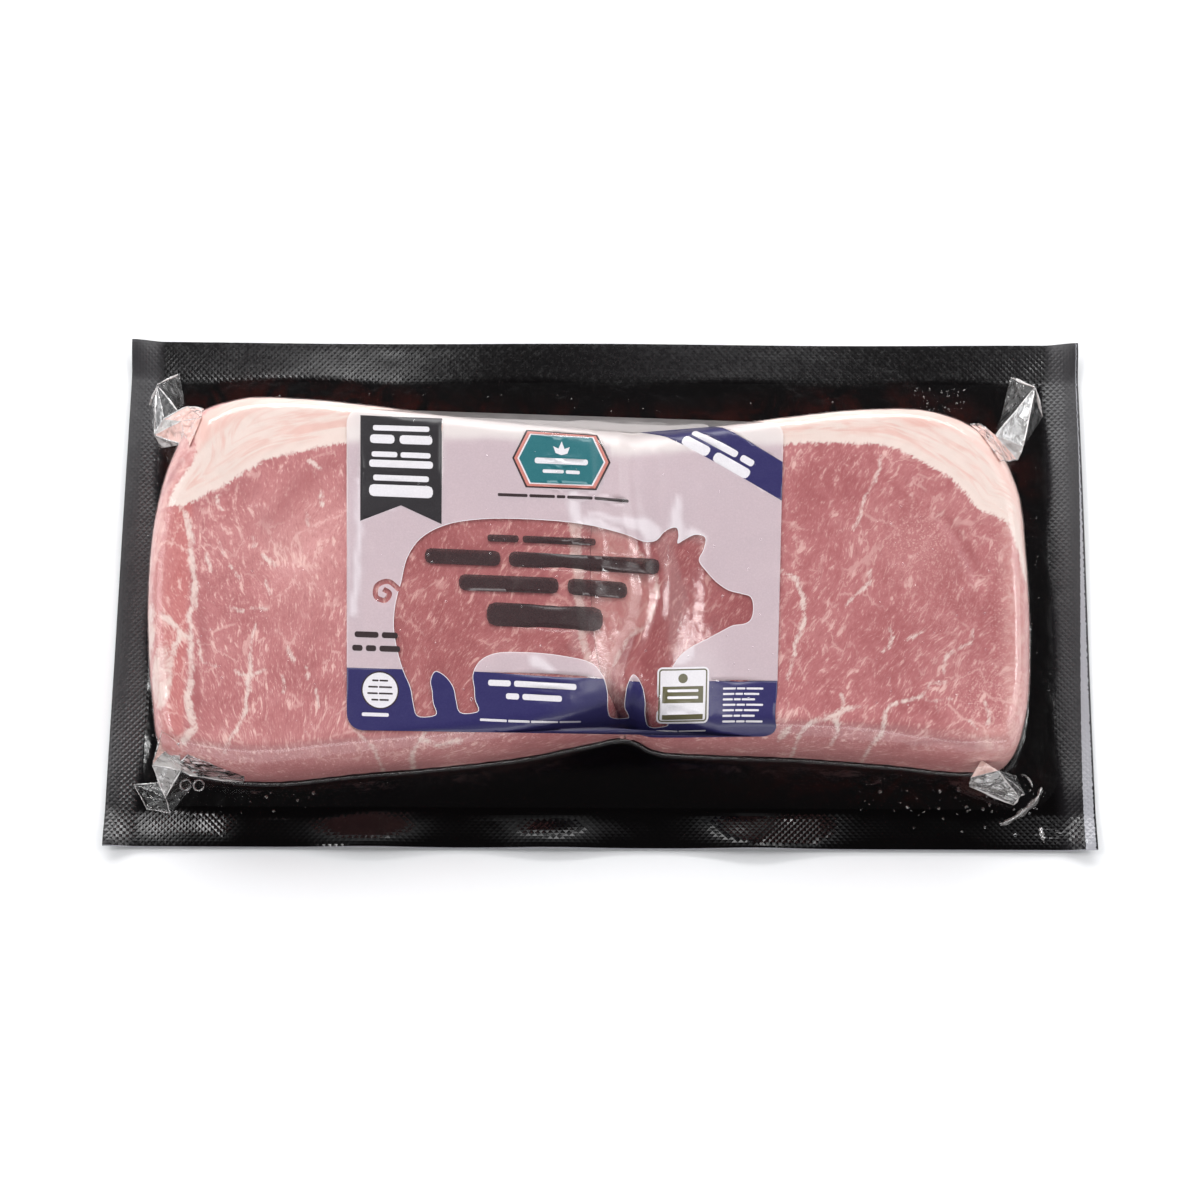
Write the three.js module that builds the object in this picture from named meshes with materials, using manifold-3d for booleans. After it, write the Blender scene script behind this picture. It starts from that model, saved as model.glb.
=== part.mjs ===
// A flat vacuum pack of two thick boneless pork chops, lying with its label up: a black backing web,
// the clear formed film drawn down tight over the meat, and a label on the film.
// Millimetres, +Z up, origin on the surface the pack lies on, under the middle of the pack.
// +X runs along the pack and +Y points to its upper long edge, where the fat caps are.
import * as THREE from "three";
import Module from "manifold-3d";
import { ConvexGeometry } from "three/addons/geometries/ConvexGeometry.js";
import { mergeVertices } from "three/addons/utils/BufferGeometryUtils.js";

const wasm = await Module();
wasm.setup();

// Pack
const PACK_LENGTH = 248;
const PACK_WIDTH = 133;
const WEB_THICKNESS = 0.5;
const WEB_STEP_ALONG = 7; // grid steps of the web: the rim waves along its long edges,
const WEB_STEP_ACROSS = 37; // and its middle is flat
const SHORT_SEAL = 9; // width of the heat-sealed rim, which curls, at the two short edges
const LONG_SEAL = 10.5; // and at the two long edges
const BRIM_THICKNESS = 0.5; // film that lies on the web round the meat
const BRIM_CORNER = 9;

// Meat under the film
const CHOP_HEIGHT = 24.5; // two chops of about 225 g, side by side
const MEAT_HALF_LENGTH = 113;
const MEAT_HALF_WIDTH = 48;
const SHOULDER = 8.5; // how far in from the outline the top is reached
const SHOULDER_POWER = 2.5;
const VALLEY_X = 12; // where the two chops meet
const VALLEY_HALF_WIDTH = 15;
const VALLEY_DEPTH_BACK = 1.8;
const VALLEY_DEPTH_FRONT = 5.5;
const SHOULDER_STEPS = [0.9, 2.3, 4.6, 8]; // where the surface's grid is close, in from the outline
const FILM_STEP = 5; // and its step in between

// Label
const LABEL_LENGTH = 108;
const LABEL_WIDTH = 80.5;
const LABEL_CORNER = 4;
const LABEL_CENTRE = new THREE.Vector2(-8.5, -0.7);
const LABEL_TURN = THREE.MathUtils.degToRad(-1.3);
const LABEL_THICKNESS = 0.4;
const LABEL_GAP = 0.45; // clearance off the film
const LABEL_STEP = 4;

// Outline of the film-covered meat from above, anticlockwise from the front left corner.
const FRONT_LEFT = [-108.5, -45];
const FRONT_EDGE = [
  [-96, -49], [-82, -50], [-60, -47.8], [-38, -45.8], [-18, -43.2], [-3, -40], [6.5, -38.4],
  [14, -41.6], [27, -42.6], [48, -43.3], [72, -45], [92, -46.8],
];
const FRONT_RIGHT = [101.5, -45.6];
const RIGHT_EDGE = [[106, -35], [107.6, -16], [107.3, 7], [106, 23]];
const BACK_RIGHT = [100.5, 35.5];
const BACK_EDGE = [
  [93, 41], [82, 44.2], [66, 44.2], [46, 42.1], [26, 39.8], [5, 39.2], [-16, 39.9], [-38, 42.2],
  [-60, 45.1], [-78, 46.8], [-92, 47],
];
const BACK_LEFT = [-104, 43];
const LEFT_EDGE = [[-109.4, 31], [-112.4, 16], [-113.3, 0], [-112.6, -16], [-111.2, -31]];

const outlinePoints = [
  FRONT_LEFT, ...FRONT_EDGE, FRONT_RIGHT, ...RIGHT_EDGE, BACK_RIGHT, ...BACK_EDGE, BACK_LEFT, ...LEFT_EDGE,
].map(([x, y]) => new THREE.Vector3(x, y, 0));
const outline = new THREE.CatmullRomCurve3(outlinePoints, true, "centripetal");
const OUTLINE_STEPS = 480;
const outlineRing = outline.getPoints(OUTLINE_STEPS);

const bump = (value, centre, width) => Math.exp(-(((value - centre) / width) ** 2));
const smooth = (t) => THREE.MathUtils.smoothstep(t, 0, 1);

// Distance from a point to the outline, positive inside it.
function insetOf(x, y) {
  let nearest = Infinity;
  let inside = false;
  for (let i = 0; i < OUTLINE_STEPS; i += 1) {
    const a = outlineRing[i];
    const b = outlineRing[i + 1];
    const dx = b.x - a.x;
    const dy = b.y - a.y;
    const along = ((x - a.x) * dx + (y - a.y) * dy) / (dx * dx + dy * dy);
    const t = Math.min(1, Math.max(0, along));
    nearest = Math.min(nearest, Math.hypot(x - a.x - t * dx, y - a.y - t * dy));
    if (a.y > y !== b.y > y && x < a.x + ((y - a.y) / dy) * dx) inside = !inside;
  }
  return inside ? nearest : -nearest;
}

// The shoulder is wider where the chops meet and at the slanted back left corner.
function shoulderWidth(x, y) {
  const meeting = (y < 0 ? 6 : 3) * bump(x, 7, 13);
  const backLeft = 7 * bump(x, -108, 16) * bump(y, 40, 22);
  const backRight = 3 * bump(x, 102, 14) * bump(y, 36, 18);
  return SHOULDER + meeting + backLeft + backRight;
}

// Height of the middle of the chops above the web, before the shoulders take it down.
function crownHeight(x, y) {
  const valley = THREE.MathUtils.lerp(VALLEY_DEPTH_BACK, VALLEY_DEPTH_FRONT, smooth((25 - y) / 60));
  const swell = 0.9 * bump(x, -62, 42) + 1.3 * bump(x, 64, 36);
  const ripple = 0.35 * Math.sin(x / 13 + 0.6) * Math.cos(y / 15 - 0.4);
  return CHOP_HEIGHT + swell + ripple - valley * bump(x, VALLEY_X, VALLEY_HALF_WIDTH);
}

// Height of the film over the web at a point inside the outline.
function filmHeight(x, y) {
  const t = Math.min(1, Math.max(0, insetOf(x, y) / shoulderWidth(x, y)));
  const round = (1 - (1 - t) ** SHOULDER_POWER) ** (1 / SHOULDER_POWER);
  return BRIM_THICKNESS + (crownHeight(x, y) - BRIM_THICKNESS) * round;
}

// Direction straight out of the film at a point.
function filmNormal(x, y) {
  const step = 0.4;
  const slopeX = (filmHeight(x + step, y) - filmHeight(x - step, y)) / (2 * step);
  const slopeY = (filmHeight(x, y + step) - filmHeight(x, y - step)) / (2 * step);
  return new THREE.Vector3(-slopeX, -slopeY, 1).normalize();
}

// How high the underside of the web's rim curls off the table at a point.
function rimLift(x, y) {
  const longCurl = smooth(1 - (PACK_WIDTH / 2 - Math.abs(y)) / LONG_SEAL);
  const shortCurl = smooth(1 - (PACK_LENGTH / 2 - Math.abs(x)) / SHORT_SEAL);
  const front = 2.6 * bump(x, -58, 12) + 2.2 * bump(x, -12, 12) + 2.8 * bump(x, 39, 12);
  const back = 0.9 + 0.5 * Math.cos(x / 19);
  const longLift = (y < 0 ? front : back) * longCurl;
  const shortLift = (1.2 + 0.5 * Math.sin(y / 17)) * shortCurl;
  const cornerLift = (y < 0 ? 0.6 : 3) * longCurl * shortCurl;
  return longLift + shortLift + cornerLift;
}

function meshOf(name, geometry, color, roughness) {
  geometry.computeVertexNormals();
  const mesh = new THREE.Mesh(geometry, new THREE.MeshStandardMaterial({ color, roughness, metalness: 0 }));
  mesh.name = name;
  return mesh;
}

function geometryOf(points, triangles) {
  const geometry = new THREE.BufferGeometry();
  geometry.setAttribute("position", new THREE.Float32BufferAttribute(points.flat(), 3));
  geometry.setIndex(triangles.flat());
  return geometry;
}

// A closed sheet over a grid, from the rules that place the points of its top and of its bottom.
function sheetGeometry(columns, rows, topAt, bottomAt) {
  const points = [];
  const triangles = [];
  const width = columns + 1;
  const layer = width * (rows + 1);
  for (const pointAt of [topAt, bottomAt])
    for (let j = 0; j <= rows; j += 1)
      for (let i = 0; i <= columns; i += 1) points.push(pointAt(i, j));
  for (let j = 0; j < rows; j += 1)
    for (let i = 0; i < columns; i += 1) {
      const a = j * width + i;
      const [b, c, d] = [a + 1, a + width + 1, a + width];
      triangles.push([a, b, c], [a, c, d]);
      triangles.push([layer + a, layer + c, layer + b], [layer + a, layer + d, layer + c]);
    }
  const border = gridBorder(columns, rows);
  border.forEach((a, k) => {
    const b = border[(k + 1) % border.length];
    triangles.push([a, layer + a, layer + b], [a, layer + b, b]);
  });
  return geometryOf(points, triangles);
}

// Indices round the border of a grid, anticlockwise from its first point.
function gridBorder(columns, rows) {
  const width = columns + 1;
  const border = [];
  for (let i = 0; i < columns; i += 1) border.push(i);
  for (let j = 0; j < rows; j += 1) border.push(j * width + columns);
  for (let i = columns; i > 0; i -= 1) border.push(rows * width + i);
  for (let j = rows; j > 0; j -= 1) border.push(j * width);
  return border;
}

// Stations from 0 to a length: close together at both ends, even in between.
function stations(length, endSteps, middleStep) {
  const reach = endSteps.at(-1);
  const middle = Math.round((length - 2 * reach) / middleStep);
  const between = Array.from({ length: middle - 1 }, (_, k) => reach + ((k + 1) * (length - 2 * reach)) / middle);
  return [0, ...endSteps, ...between, ...endSteps.toReversed().map((s) => length - s), length].map((s) => s / length);
}

// The black web: flat under the meat, its sealed rim curling up.
function backingWeb() {
  const along = stations(PACK_LENGTH, [SHORT_SEAL / 3, (2 * SHORT_SEAL) / 3, SHORT_SEAL], WEB_STEP_ALONG);
  const across = stations(PACK_WIDTH, [LONG_SEAL / 3, (2 * LONG_SEAL) / 3, LONG_SEAL], WEB_STEP_ACROSS);
  const layerAt = (thickness) => (i, j) => {
    const [x, y] = [(along[i] - 0.5) * PACK_LENGTH, (across[j] - 0.5) * PACK_WIDTH];
    return [x, y, rimLift(x, y) + thickness];
  };
  const geometry = sheetGeometry(along.length - 1, across.length - 1, layerAt(WEB_THICKNESS), layerAt(0));
  return meshOf("backing_web", geometry, 0x121113, 0.3);
}

// The stretch of outline from one named corner to the next, resampled at the given stations.
function edgeAt(fromIndex, toIndex, shares) {
  const count = outlinePoints.length;
  const steps = 200;
  const points = Array.from({ length: steps + 1 }, (_, k) => {
    const t = (fromIndex + ((toIndex - fromIndex) * k) / steps) / count;
    return outline.getPoint(t % 1);
  });
  const lengths = [0];
  for (let k = 1; k <= steps; k += 1) lengths.push(lengths[k - 1] + points[k].distanceTo(points[k - 1]));
  return shares.map((share) => {
    const target = share * lengths[steps];
    const k = Math.min(steps - 1, Math.max(0, lengths.findIndex((l) => l > target) - 1));
    const here = target >= lengths[steps] ? steps - 1 : k;
    const t = (target - lengths[here]) / (lengths[here + 1] - lengths[here]);
    return points[here].clone().lerp(points[here + 1], Math.min(1, t));
  });
}

// Point on the rounded rectangle that bounds the brim, straight out from a point of the outline.
function brimPoint(x, y) {
  const halfLength = PACK_LENGTH / 2 - SHORT_SEAL;
  const halfWidth = PACK_WIDTH / 2 - LONG_SEAL;
  const scale = Math.max(Math.abs(x) / MEAT_HALF_LENGTH, Math.abs(y) / MEAT_HALF_WIDTH);
  const onEdge = new THREE.Vector2(
    (x * halfLength) / (scale * MEAT_HALF_LENGTH),
    (y * halfWidth) / (scale * MEAT_HALF_WIDTH),
  );
  const inner = new THREE.Vector2(halfLength - BRIM_CORNER, halfWidth - BRIM_CORNER);
  const corner = onEdge.clone().clamp(inner.clone().negate(), inner);
  const away = onEdge.sub(corner);
  return corner.add(away.setLength(BRIM_CORNER)).toArray();
}

// The film drawn down over the meat, on a grid that the four sides of the outline stretch between
// them, with the flat brim round it.
function filmOverMeat() {
  const along = stations(2 * MEAT_HALF_LENGTH, SHOULDER_STEPS, FILM_STEP);
  const across = stations(2 * MEAT_HALF_WIDTH, SHOULDER_STEPS, FILM_STEP);
  const corners = [FRONT_EDGE, RIGHT_EDGE, BACK_EDGE, LEFT_EDGE].reduce(
    (found, edge) => [...found, found.at(-1) + edge.length + 1],
    [0],
  );
  const front = edgeAt(corners[0], corners[1], along);
  const right = edgeAt(corners[1], corners[2], across);
  const back = edgeAt(corners[2], corners[3], along).reverse();
  const left = edgeAt(corners[3], corners[4], across).reverse();
  const columns = along.length - 1;
  const rows = across.length - 1;
  const blend = (axis, i, j) => {
    const [u, v] = [along[i], across[j]];
    const fromSides = (1 - v) * front[i][axis] + v * back[i][axis] + (1 - u) * left[j][axis] + u * right[j][axis];
    const fromCorners =
      (1 - u) * ((1 - v) * front[0][axis] + v * back[0][axis]) +
      u * ((1 - v) * front[columns][axis] + v * back[columns][axis]);
    return fromSides - fromCorners;
  };
  const points = [];
  const triangles = [];
  const width = columns + 1;
  for (let j = 0; j <= rows; j += 1)
    for (let i = 0; i <= columns; i += 1) {
      const [x, y] = [blend("x", i, j), blend("y", i, j)];
      const onBorder = i === 0 || j === 0 || i === columns || j === rows;
      points.push([x, y, WEB_THICKNESS + (onBorder ? BRIM_THICKNESS : filmHeight(x, y))]);
    }
  for (let j = 0; j < rows; j += 1)
    for (let i = 0; i < columns; i += 1) {
      const a = j * width + i;
      triangles.push([a, a + 1, a + width + 1], [a, a + width + 1, a + width]);
    }
  const foot = gridBorder(columns, rows);
  const brimTop = points.length;
  const brim = foot.map((k) => brimPoint(points[k][0], points[k][1]));
  brim.forEach(([x, y]) => points.push([x, y, WEB_THICKNESS + BRIM_THICKNESS]));
  const brimBottom = points.length;
  brim.forEach(([x, y]) => points.push([x, y, WEB_THICKNESS]));
  foot.forEach((a, k) => {
    const next = (k + 1) % foot.length;
    const [b, c, d] = [foot[next], brimTop + next, brimTop + k];
    triangles.push([a, d, c], [a, c, b]);
    triangles.push([d, brimBottom + k, brimBottom + next], [d, brimBottom + next, c]);
  });
  const flat = THREE.ShapeUtils.triangulateShape(brim.map(([x, y]) => new THREE.Vector2(x, y)), []);
  flat.forEach(([a, b, c]) => triangles.push([brimBottom + a, brimBottom + c, brimBottom + b]));
  return geometryOf(points, triangles);
}

// The four folded ears of film left over from the pocket's corners: hulls of their creases,
// each given as points on the pack with their height over the web.
const EARS = {
  backLeft: [
    [-116, 53.5, 5], [-114, 48, 0.2], [-107, 54, 0.2], [-115.5, 39.5, 8], [-109, 43, 16], [-104, 36, 15],
    [-103, 43, 8], [-111, 34, 0.2],
  ],
  backRight: [
    [111.5, 52.5, 5], [105, 55, 0.2], [113.5, 45, 0.2], [98, 37, 15], [108.5, 37, 9], [106, 33, 10],
    [100, 31, 16], [97, 42, 0.2],
  ],
  frontLeft: [
    [-108.5, -44.5, 13], [-112.5, -46.5, 7], [-109, -54.5, 4], [-103, -47, 12], [-114, -50, 0.2],
    [-107, -55, 0.2], [-99, -44, 10],
  ],
  frontRight: [
    [91.5, -45, 12], [92, -50.5, 7], [93, -52.5, 0.2], [104, -55, 3], [105.5, -52.5, 4], [100, -44, 13],
    [107.5, -54, 0.2],
  ],
};

function solidOf(geometry) {
  const bare = geometry.clone();
  bare.deleteAttribute("normal");
  bare.deleteAttribute("uv");
  const merged = mergeVertices(bare, 1e-4);
  return new wasm.Manifold(
    new wasm.Mesh({
      numProp: 3,
      vertProperties: new Float32Array(merged.attributes.position.array),
      triVerts: new Uint32Array(merged.index.array),
    }),
  );
}

function geometryFromSolid(solid) {
  const { numProp, vertProperties, triVerts } = solid.getMesh();
  const points = [];
  for (let k = 0; k < vertProperties.length; k += numProp) points.push([...vertProperties.slice(k, k + 3)]);
  return geometryOf(points, [[...triVerts]]);
}

function sealedPocket() {
  let solid = solidOf(filmOverMeat());
  for (const creases of Object.values(EARS)) {
    const corners = creases.map(([x, y, z]) => new THREE.Vector3(x, y, WEB_THICKNESS + z));
    solid = solid.add(solidOf(new ConvexGeometry(corners)));
  }
  return meshOf("sealed_pocket", geometryFromSolid(solid), 0xcf8f92, 0.35);
}

// Where a point of the flat label comes to lie once it is wrapped over the film: it keeps its
// distance along the surface from the label's long middle line.
function wrapped(along, fromMiddle) {
  const turned = new THREE.Vector2(along, 0).rotateAround(new THREE.Vector2(), LABEL_TURN).add(LABEL_CENTRE);
  const across = new THREE.Vector2(0, Math.sign(fromMiddle)).rotateAround(new THREE.Vector2(), LABEL_TURN);
  const step = 0.1;
  let covered = 0;
  let height = filmHeight(turned.x, turned.y);
  while (covered < Math.abs(fromMiddle)) {
    turned.addScaledVector(across, step);
    const next = filmHeight(turned.x, turned.y);
    covered += Math.hypot(step, next - height);
    height = next;
  }
  return turned;
}

// How much shorter a label row is at a given distance from its middle line, for the round corners.
function cornerCut(fromMiddle) {
  const into = Math.abs(fromMiddle) - (LABEL_WIDTH / 2 - LABEL_CORNER);
  return into <= 0 ? 0 : LABEL_CORNER - Math.sqrt(Math.max(0, LABEL_CORNER ** 2 - into ** 2));
}

function frontLabel() {
  const columns = Math.round(LABEL_LENGTH / LABEL_STEP);
  const across = stations(LABEL_WIDTH, [1.2, 3, 5.5, 9], LABEL_STEP);
  const rows = across.length - 1;
  const plan = across.map((share) => {
    const fromMiddle = (share - 0.5) * LABEL_WIDTH;
    const half = LABEL_LENGTH / 2 - cornerCut(fromMiddle);
    return Array.from({ length: columns + 1 }, (_, i) => {
      const { x, y } = wrapped(((2 * i) / columns - 1) * half, fromMiddle);
      return [x, y];
    });
  });
  const layerAt = (offFilm) => (i, j) => {
    const [x, y] = plan[j][i];
    const up = filmNormal(x, y).multiplyScalar(offFilm);
    return [x + up.x, y + up.y, WEB_THICKNESS + filmHeight(x, y) + up.z];
  };
  const geometry = sheetGeometry(columns, rows, layerAt(LABEL_GAP + LABEL_THICKNESS), layerAt(LABEL_GAP));
  return meshOf("front_label", geometry, 0xddd2da, 0.4);
}

const pack = new THREE.Group();
pack.add(backingWeb(), sealedPocket(), frontLabel());
export default pack;
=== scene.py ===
import math

import bpy
import numpy as np
from bpy.props import FloatProperty, FloatVectorProperty, IntProperty, PointerProperty
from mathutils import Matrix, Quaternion, Vector
from mathutils.geometry import delaunay_2d_cdt


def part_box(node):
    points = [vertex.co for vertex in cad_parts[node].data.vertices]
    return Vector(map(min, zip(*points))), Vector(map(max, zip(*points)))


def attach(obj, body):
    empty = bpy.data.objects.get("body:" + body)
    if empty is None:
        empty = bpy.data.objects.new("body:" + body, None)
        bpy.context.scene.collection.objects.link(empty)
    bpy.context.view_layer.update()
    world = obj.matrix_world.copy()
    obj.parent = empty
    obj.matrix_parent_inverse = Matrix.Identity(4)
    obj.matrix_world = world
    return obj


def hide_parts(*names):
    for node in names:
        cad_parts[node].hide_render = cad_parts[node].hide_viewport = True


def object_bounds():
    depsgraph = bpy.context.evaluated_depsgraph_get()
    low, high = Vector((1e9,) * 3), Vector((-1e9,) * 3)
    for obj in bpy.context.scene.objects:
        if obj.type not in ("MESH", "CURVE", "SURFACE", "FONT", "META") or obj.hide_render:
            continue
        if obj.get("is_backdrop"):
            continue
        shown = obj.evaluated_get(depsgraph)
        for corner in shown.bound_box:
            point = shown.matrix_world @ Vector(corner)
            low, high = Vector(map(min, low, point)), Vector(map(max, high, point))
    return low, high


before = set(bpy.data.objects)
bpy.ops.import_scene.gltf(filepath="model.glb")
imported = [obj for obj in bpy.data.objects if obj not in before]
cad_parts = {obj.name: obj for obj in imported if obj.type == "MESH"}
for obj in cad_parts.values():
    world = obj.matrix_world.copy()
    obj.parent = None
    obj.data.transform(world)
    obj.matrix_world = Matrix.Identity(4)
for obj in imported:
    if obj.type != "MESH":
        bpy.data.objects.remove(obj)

bl_info = {
    "name": "Meat tray pack",
    "version": (1, 0, 0),
    "blender": (4, 5, 0),
    "location": "3D View > Sidebar > Meat pack",
    "description": "Dresses a vacuum pack of two pork chops: meat, films, label and drops",
    "category": "Object",
}

MM = 0.001
BODY = "root"

# Shapes below are worked out in millimetres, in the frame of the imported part: +X along the pack,
# +Y to the edge where the fat caps are, +Z up out of the labelled face.
WEB_LOW, WEB_HIGH = (np.array(corner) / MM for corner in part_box("backing_web"))
PACK_LENGTH, PACK_WIDTH = (WEB_HIGH - WEB_LOW)[:2]
WEB_TOP = 0.5
WEB_SLACK = 0.15
BRIM_THICKNESS = 0.5
BRIM_CORNER = 9.0
FILM_FILLET = 1.4

# Outline of the film-covered meat from above, anticlockwise.
FRONT_LEFT = [(-108.5, -45)]
FRONT_EDGE = [
    (-96, -49), (-82, -50), (-60, -47.8), (-38, -45.8), (-18, -43.2), (-3, -40), (6.5, -38.4),
    (14, -41.6), (27, -42.6), (48, -43.3), (72, -45), (92, -46.8),
]
FRONT_RIGHT = [(101.5, -45.6)]
RIGHT_EDGE = [(106, -35), (107.6, -16), (107.3, 7), (106, 23)]
BACK_RIGHT = [(100.5, 35.5)]
BACK_EDGE = [
    (93, 41), (82, 44.2), (66, 44.2), (46, 42.1), (26, 39.8), (5, 39.2), (-16, 39.9), (-38, 42.2),
    (-60, 45.1), (-78, 46.8), (-92, 47),
]
BACK_LEFT = [(-104, 43)]
LEFT_EDGE = [(-110.2, 31), (-113.3, 16), (-114.2, 0), (-113.6, -16), (-112.0, -31)]
OUTLINE = [
    *FRONT_LEFT, *FRONT_EDGE, *FRONT_RIGHT, *RIGHT_EDGE, *BACK_RIGHT, *BACK_EDGE, *BACK_LEFT, *LEFT_EDGE,
]
MEAT_HALF_LENGTH = 113.0
MEAT_HALF_WIDTH = 48.0
PER_SPAN = 13

CHOP_HEIGHT = 24.5
SHOULDER = 6.6
SHOULDER_POWER = 2.7
SHOULDER_FOOT = 17.0
VALLEY_X = 12.0
VALLEY_HALF_WIDTH = 15.0
VALLEY_DEPTH_BACK = 1.8
VALLEY_DEPTH_FRONT = 5.5

# Line where the two chops touch, from the front edge to the back edge.
MEETING_LINE = [
    (6.3, -38.6), (3.5, -33), (0.5, -27), (-1.5, -18), (-2.5, -5), (-2.5, 10), (-0.5, 26), (4.5, 39.3),
]
CHOPS_APART = 0.06
MEETING_DEPTH = 3.0
MEETING_SHOULDER = 4.5

# Label
LABEL_LENGTH = 108.0
LABEL_CORNER = 4.0
LABEL_CENTRE = (-9.4, -1.0)
LABEL_LOW, LABEL_HIGH = -41.9, 40.25
LABEL_SLOPE = -0.029


def distance(name, description, value):
    return FloatProperty(name=name, description=description, default=value, unit="LENGTH", subtype="DISTANCE")


class PackSizes(bpy.types.PropertyGroup):
    """Sizes that change how finely and how far off each other the pack's pieces are made."""

    long_seal: distance("Long seal", "Width of the seal band at the long edges", 0.0105)
    short_seal: distance("Short seal", "Width of the seal band at the short edges", 0.009)
    knurl_pitch: distance("Knurl pitch", "Distance between neighbouring pyramids of the seal band", 0.0011)
    knurl_height: distance("Knurl height", "Height of those pyramids", 0.00013)
    meat_gap: distance("Meat gap", "Distance from the film in to the meat", 0.00022)
    label_gap: distance("Label gap", "Distance from the film out to the label", 0.00014)
    meat_step: distance("Meat step", "Mesh step on the chops", 0.0005)
    film_step: distance("Film step", "Mesh step on the clear film", 0.001)
    label_step: distance("Label step", "Mesh step on the label", 0.0009)
    drops: IntProperty(name="Drops", description="Water drops on the pack", default=420, min=0)


def colour(name, description, value):
    return FloatVectorProperty(
        name=name, description=description, default=value, size=3, min=0, max=1, subtype="COLOR",
    )


class PackColours(bpy.types.PropertyGroup):
    """Linear colours of the pack's finishes."""

    lean: colour("Lean", "Lean meat", (0.430, 0.148, 0.153))
    # Dark lean is also the tone of the painted shade along the chops' folds.
    lean_dark: colour("Dark lean", "Deeper parts of the lean", (0.325, 0.094, 0.100))
    lean_pale: colour("Pale lean", "Parts of the lean where the film presses", (0.585, 0.280, 0.272))
    muscle: colour("Side muscle", "Redder strip of muscle at the side", (0.50, 0.150, 0.140))
    fleck: colour("Fleck", "Marbling", (0.76, 0.50, 0.455))
    fat: colour("Fat", "Fat cap", (0.745, 0.62, 0.565))
    # Pink fat is also the tone of the painted shade past the right chop's fat fold.
    fat_pink: colour("Pink fat", "Stained fat", (0.71, 0.44, 0.385))
    skin: colour("Side skin", "Pale pink sides of the chops", (0.64, 0.325, 0.305))
    web: colour("Web", "Black backing film", (0.0026, 0.0022, 0.0024))
    # Painted sheen: this lighter grey stands in for the light that the curled strips of the seal band catch.
    painted_sheen_web: colour("Dull web", "Duller outer strips of the seal band", (0.024, 0.022, 0.025))
    selvage: colour("Selvage", "Clear film that stands out past the black", (0.36, 0.36, 0.39))
    juice: colour("Juice", "Thin juice on the black film", (0.024, 0.005, 0.004))
    label: colour("Label", "Pale ground of the label", (0.62, 0.520, 0.560))
    navy: colour("Navy", "Navy print", (0.026, 0.022, 0.098))
    charcoal: colour("Charcoal", "Charcoal ribbon", (0.024, 0.021, 0.024))
    ink: colour("Ink", "Dark print", (0.030, 0.018, 0.020))
    white: colour("White", "White print", (0.70, 0.67, 0.70))
    teal: colour("Teal", "Teal print", (0.020, 0.13, 0.15))
    salmon: colour("Salmon", "Salmon print", (0.50, 0.18, 0.15))
    olive: colour("Olive", "Olive print", (0.085, 0.075, 0.030))
    floor: colour("Floor", "Pale floor", (0.93, 0.93, 0.94))


# Curves and surfaces, in millimetres

def smooth(value, low=0.0, high=1.0):
    t = np.clip((value - low) / (high - low), 0.0, 1.0)
    return t * t * (3.0 - 2.0 * t)


def bump(value, centre, width):
    return np.exp(-(((value - centre) / width) ** 2))


def spot(x, y, centre, widths):
    """A round or oval spot that fades out from its centre."""
    return bump(x, centre[0], widths[0]) * bump(y, centre[1], widths[1])


def centripetal(points, per_span, closed=False):
    """A centripetal Catmull-Rom curve through the points, as points of its own."""
    p = np.asarray(points, float)
    if not closed:
        p = np.vstack([2 * p[0] - p[1], p, 2 * p[-1] - p[-2]])
    p0, p1, p2, p3 = (np.roll(p, shift, axis=0) for shift in (1, 0, -1, -2))
    spans = ((p0, p1), (p1, p2), (p2, p3))
    d0, d1, d2 = (np.sqrt(np.linalg.norm(b - a, axis=1))[:, None] for a, b in spans)
    leave = ((p1 - p0) / d0 - (p2 - p0) / (d0 + d1) + (p2 - p1) / d1) * d1
    arrive = ((p2 - p1) / d1 - (p3 - p1) / (d1 + d2) + (p3 - p2) / d2) * d1
    terms = [p1, leave, 3 * (p2 - p1) - 2 * leave - arrive, 2 * (p1 - p2) + leave + arrive]
    t = np.arange(per_span)[None, :, None] / per_span
    found = sum(term[:, None, :] * t**power for power, term in enumerate(terms))
    if closed:
        return found.reshape(-1, p.shape[1])
    return np.vstack([found[1:-2].reshape(-1, p.shape[1]), p[-2]])


def along(polyline, shares):
    """Points on a polyline at the given shares of its length."""
    steps = np.linalg.norm(np.diff(polyline, axis=0), axis=1)
    at = np.concatenate([[0.0], np.cumsum(steps)]) / steps.sum()
    return np.stack([np.interp(shares, at, polyline[:, k]) for k in range(polyline.shape[1])], axis=1)


def distance_to(x, y, polyline, closed=False):
    """Distance from each point to a polyline; positive inside where it is closed, and else on its left."""
    a = np.asarray(polyline, float)
    b = np.roll(a, -1, axis=0)
    if not closed:
        a, b = a[:-1], b[:-1]
    d = b - a
    length2 = np.maximum((d**2).sum(axis=1), 1e-12)
    found = np.empty(x.size)
    flat_x, flat_y = x.ravel(), y.ravel()
    for start in range(0, x.size, 4000):
        px, py = (values[start:start + 4000, None] for values in (flat_x, flat_y))
        t = np.clip(((px - a[:, 0]) * d[:, 0] + (py - a[:, 1]) * d[:, 1]) / length2, 0.0, 1.0)
        gap2 = (px - a[:, 0] - t * d[:, 0]) ** 2 + (py - a[:, 1] - t * d[:, 1]) ** 2
        if closed:
            crosses = (a[:, 1] > py) != (b[:, 1] > py)
            rise = np.where(d[:, 1] == 0, 1e-12, d[:, 1])
            beside = px < a[:, 0] + (py - a[:, 1]) / rise * d[:, 0]
            sign = np.where((crosses & beside).sum(axis=1) % 2 == 1, 1.0, -1.0)
        else:
            nearest = gap2.argmin(axis=1)
            side = d[nearest, 0] * (py[:, 0] - a[nearest, 1]) - d[nearest, 1] * (px[:, 0] - a[nearest, 0])
            sign = np.where(side >= 0, 1.0, -1.0)
        found[start:start + 4000] = sign * np.sqrt(gap2.min(axis=1))
    return found.reshape(x.shape)


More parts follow.
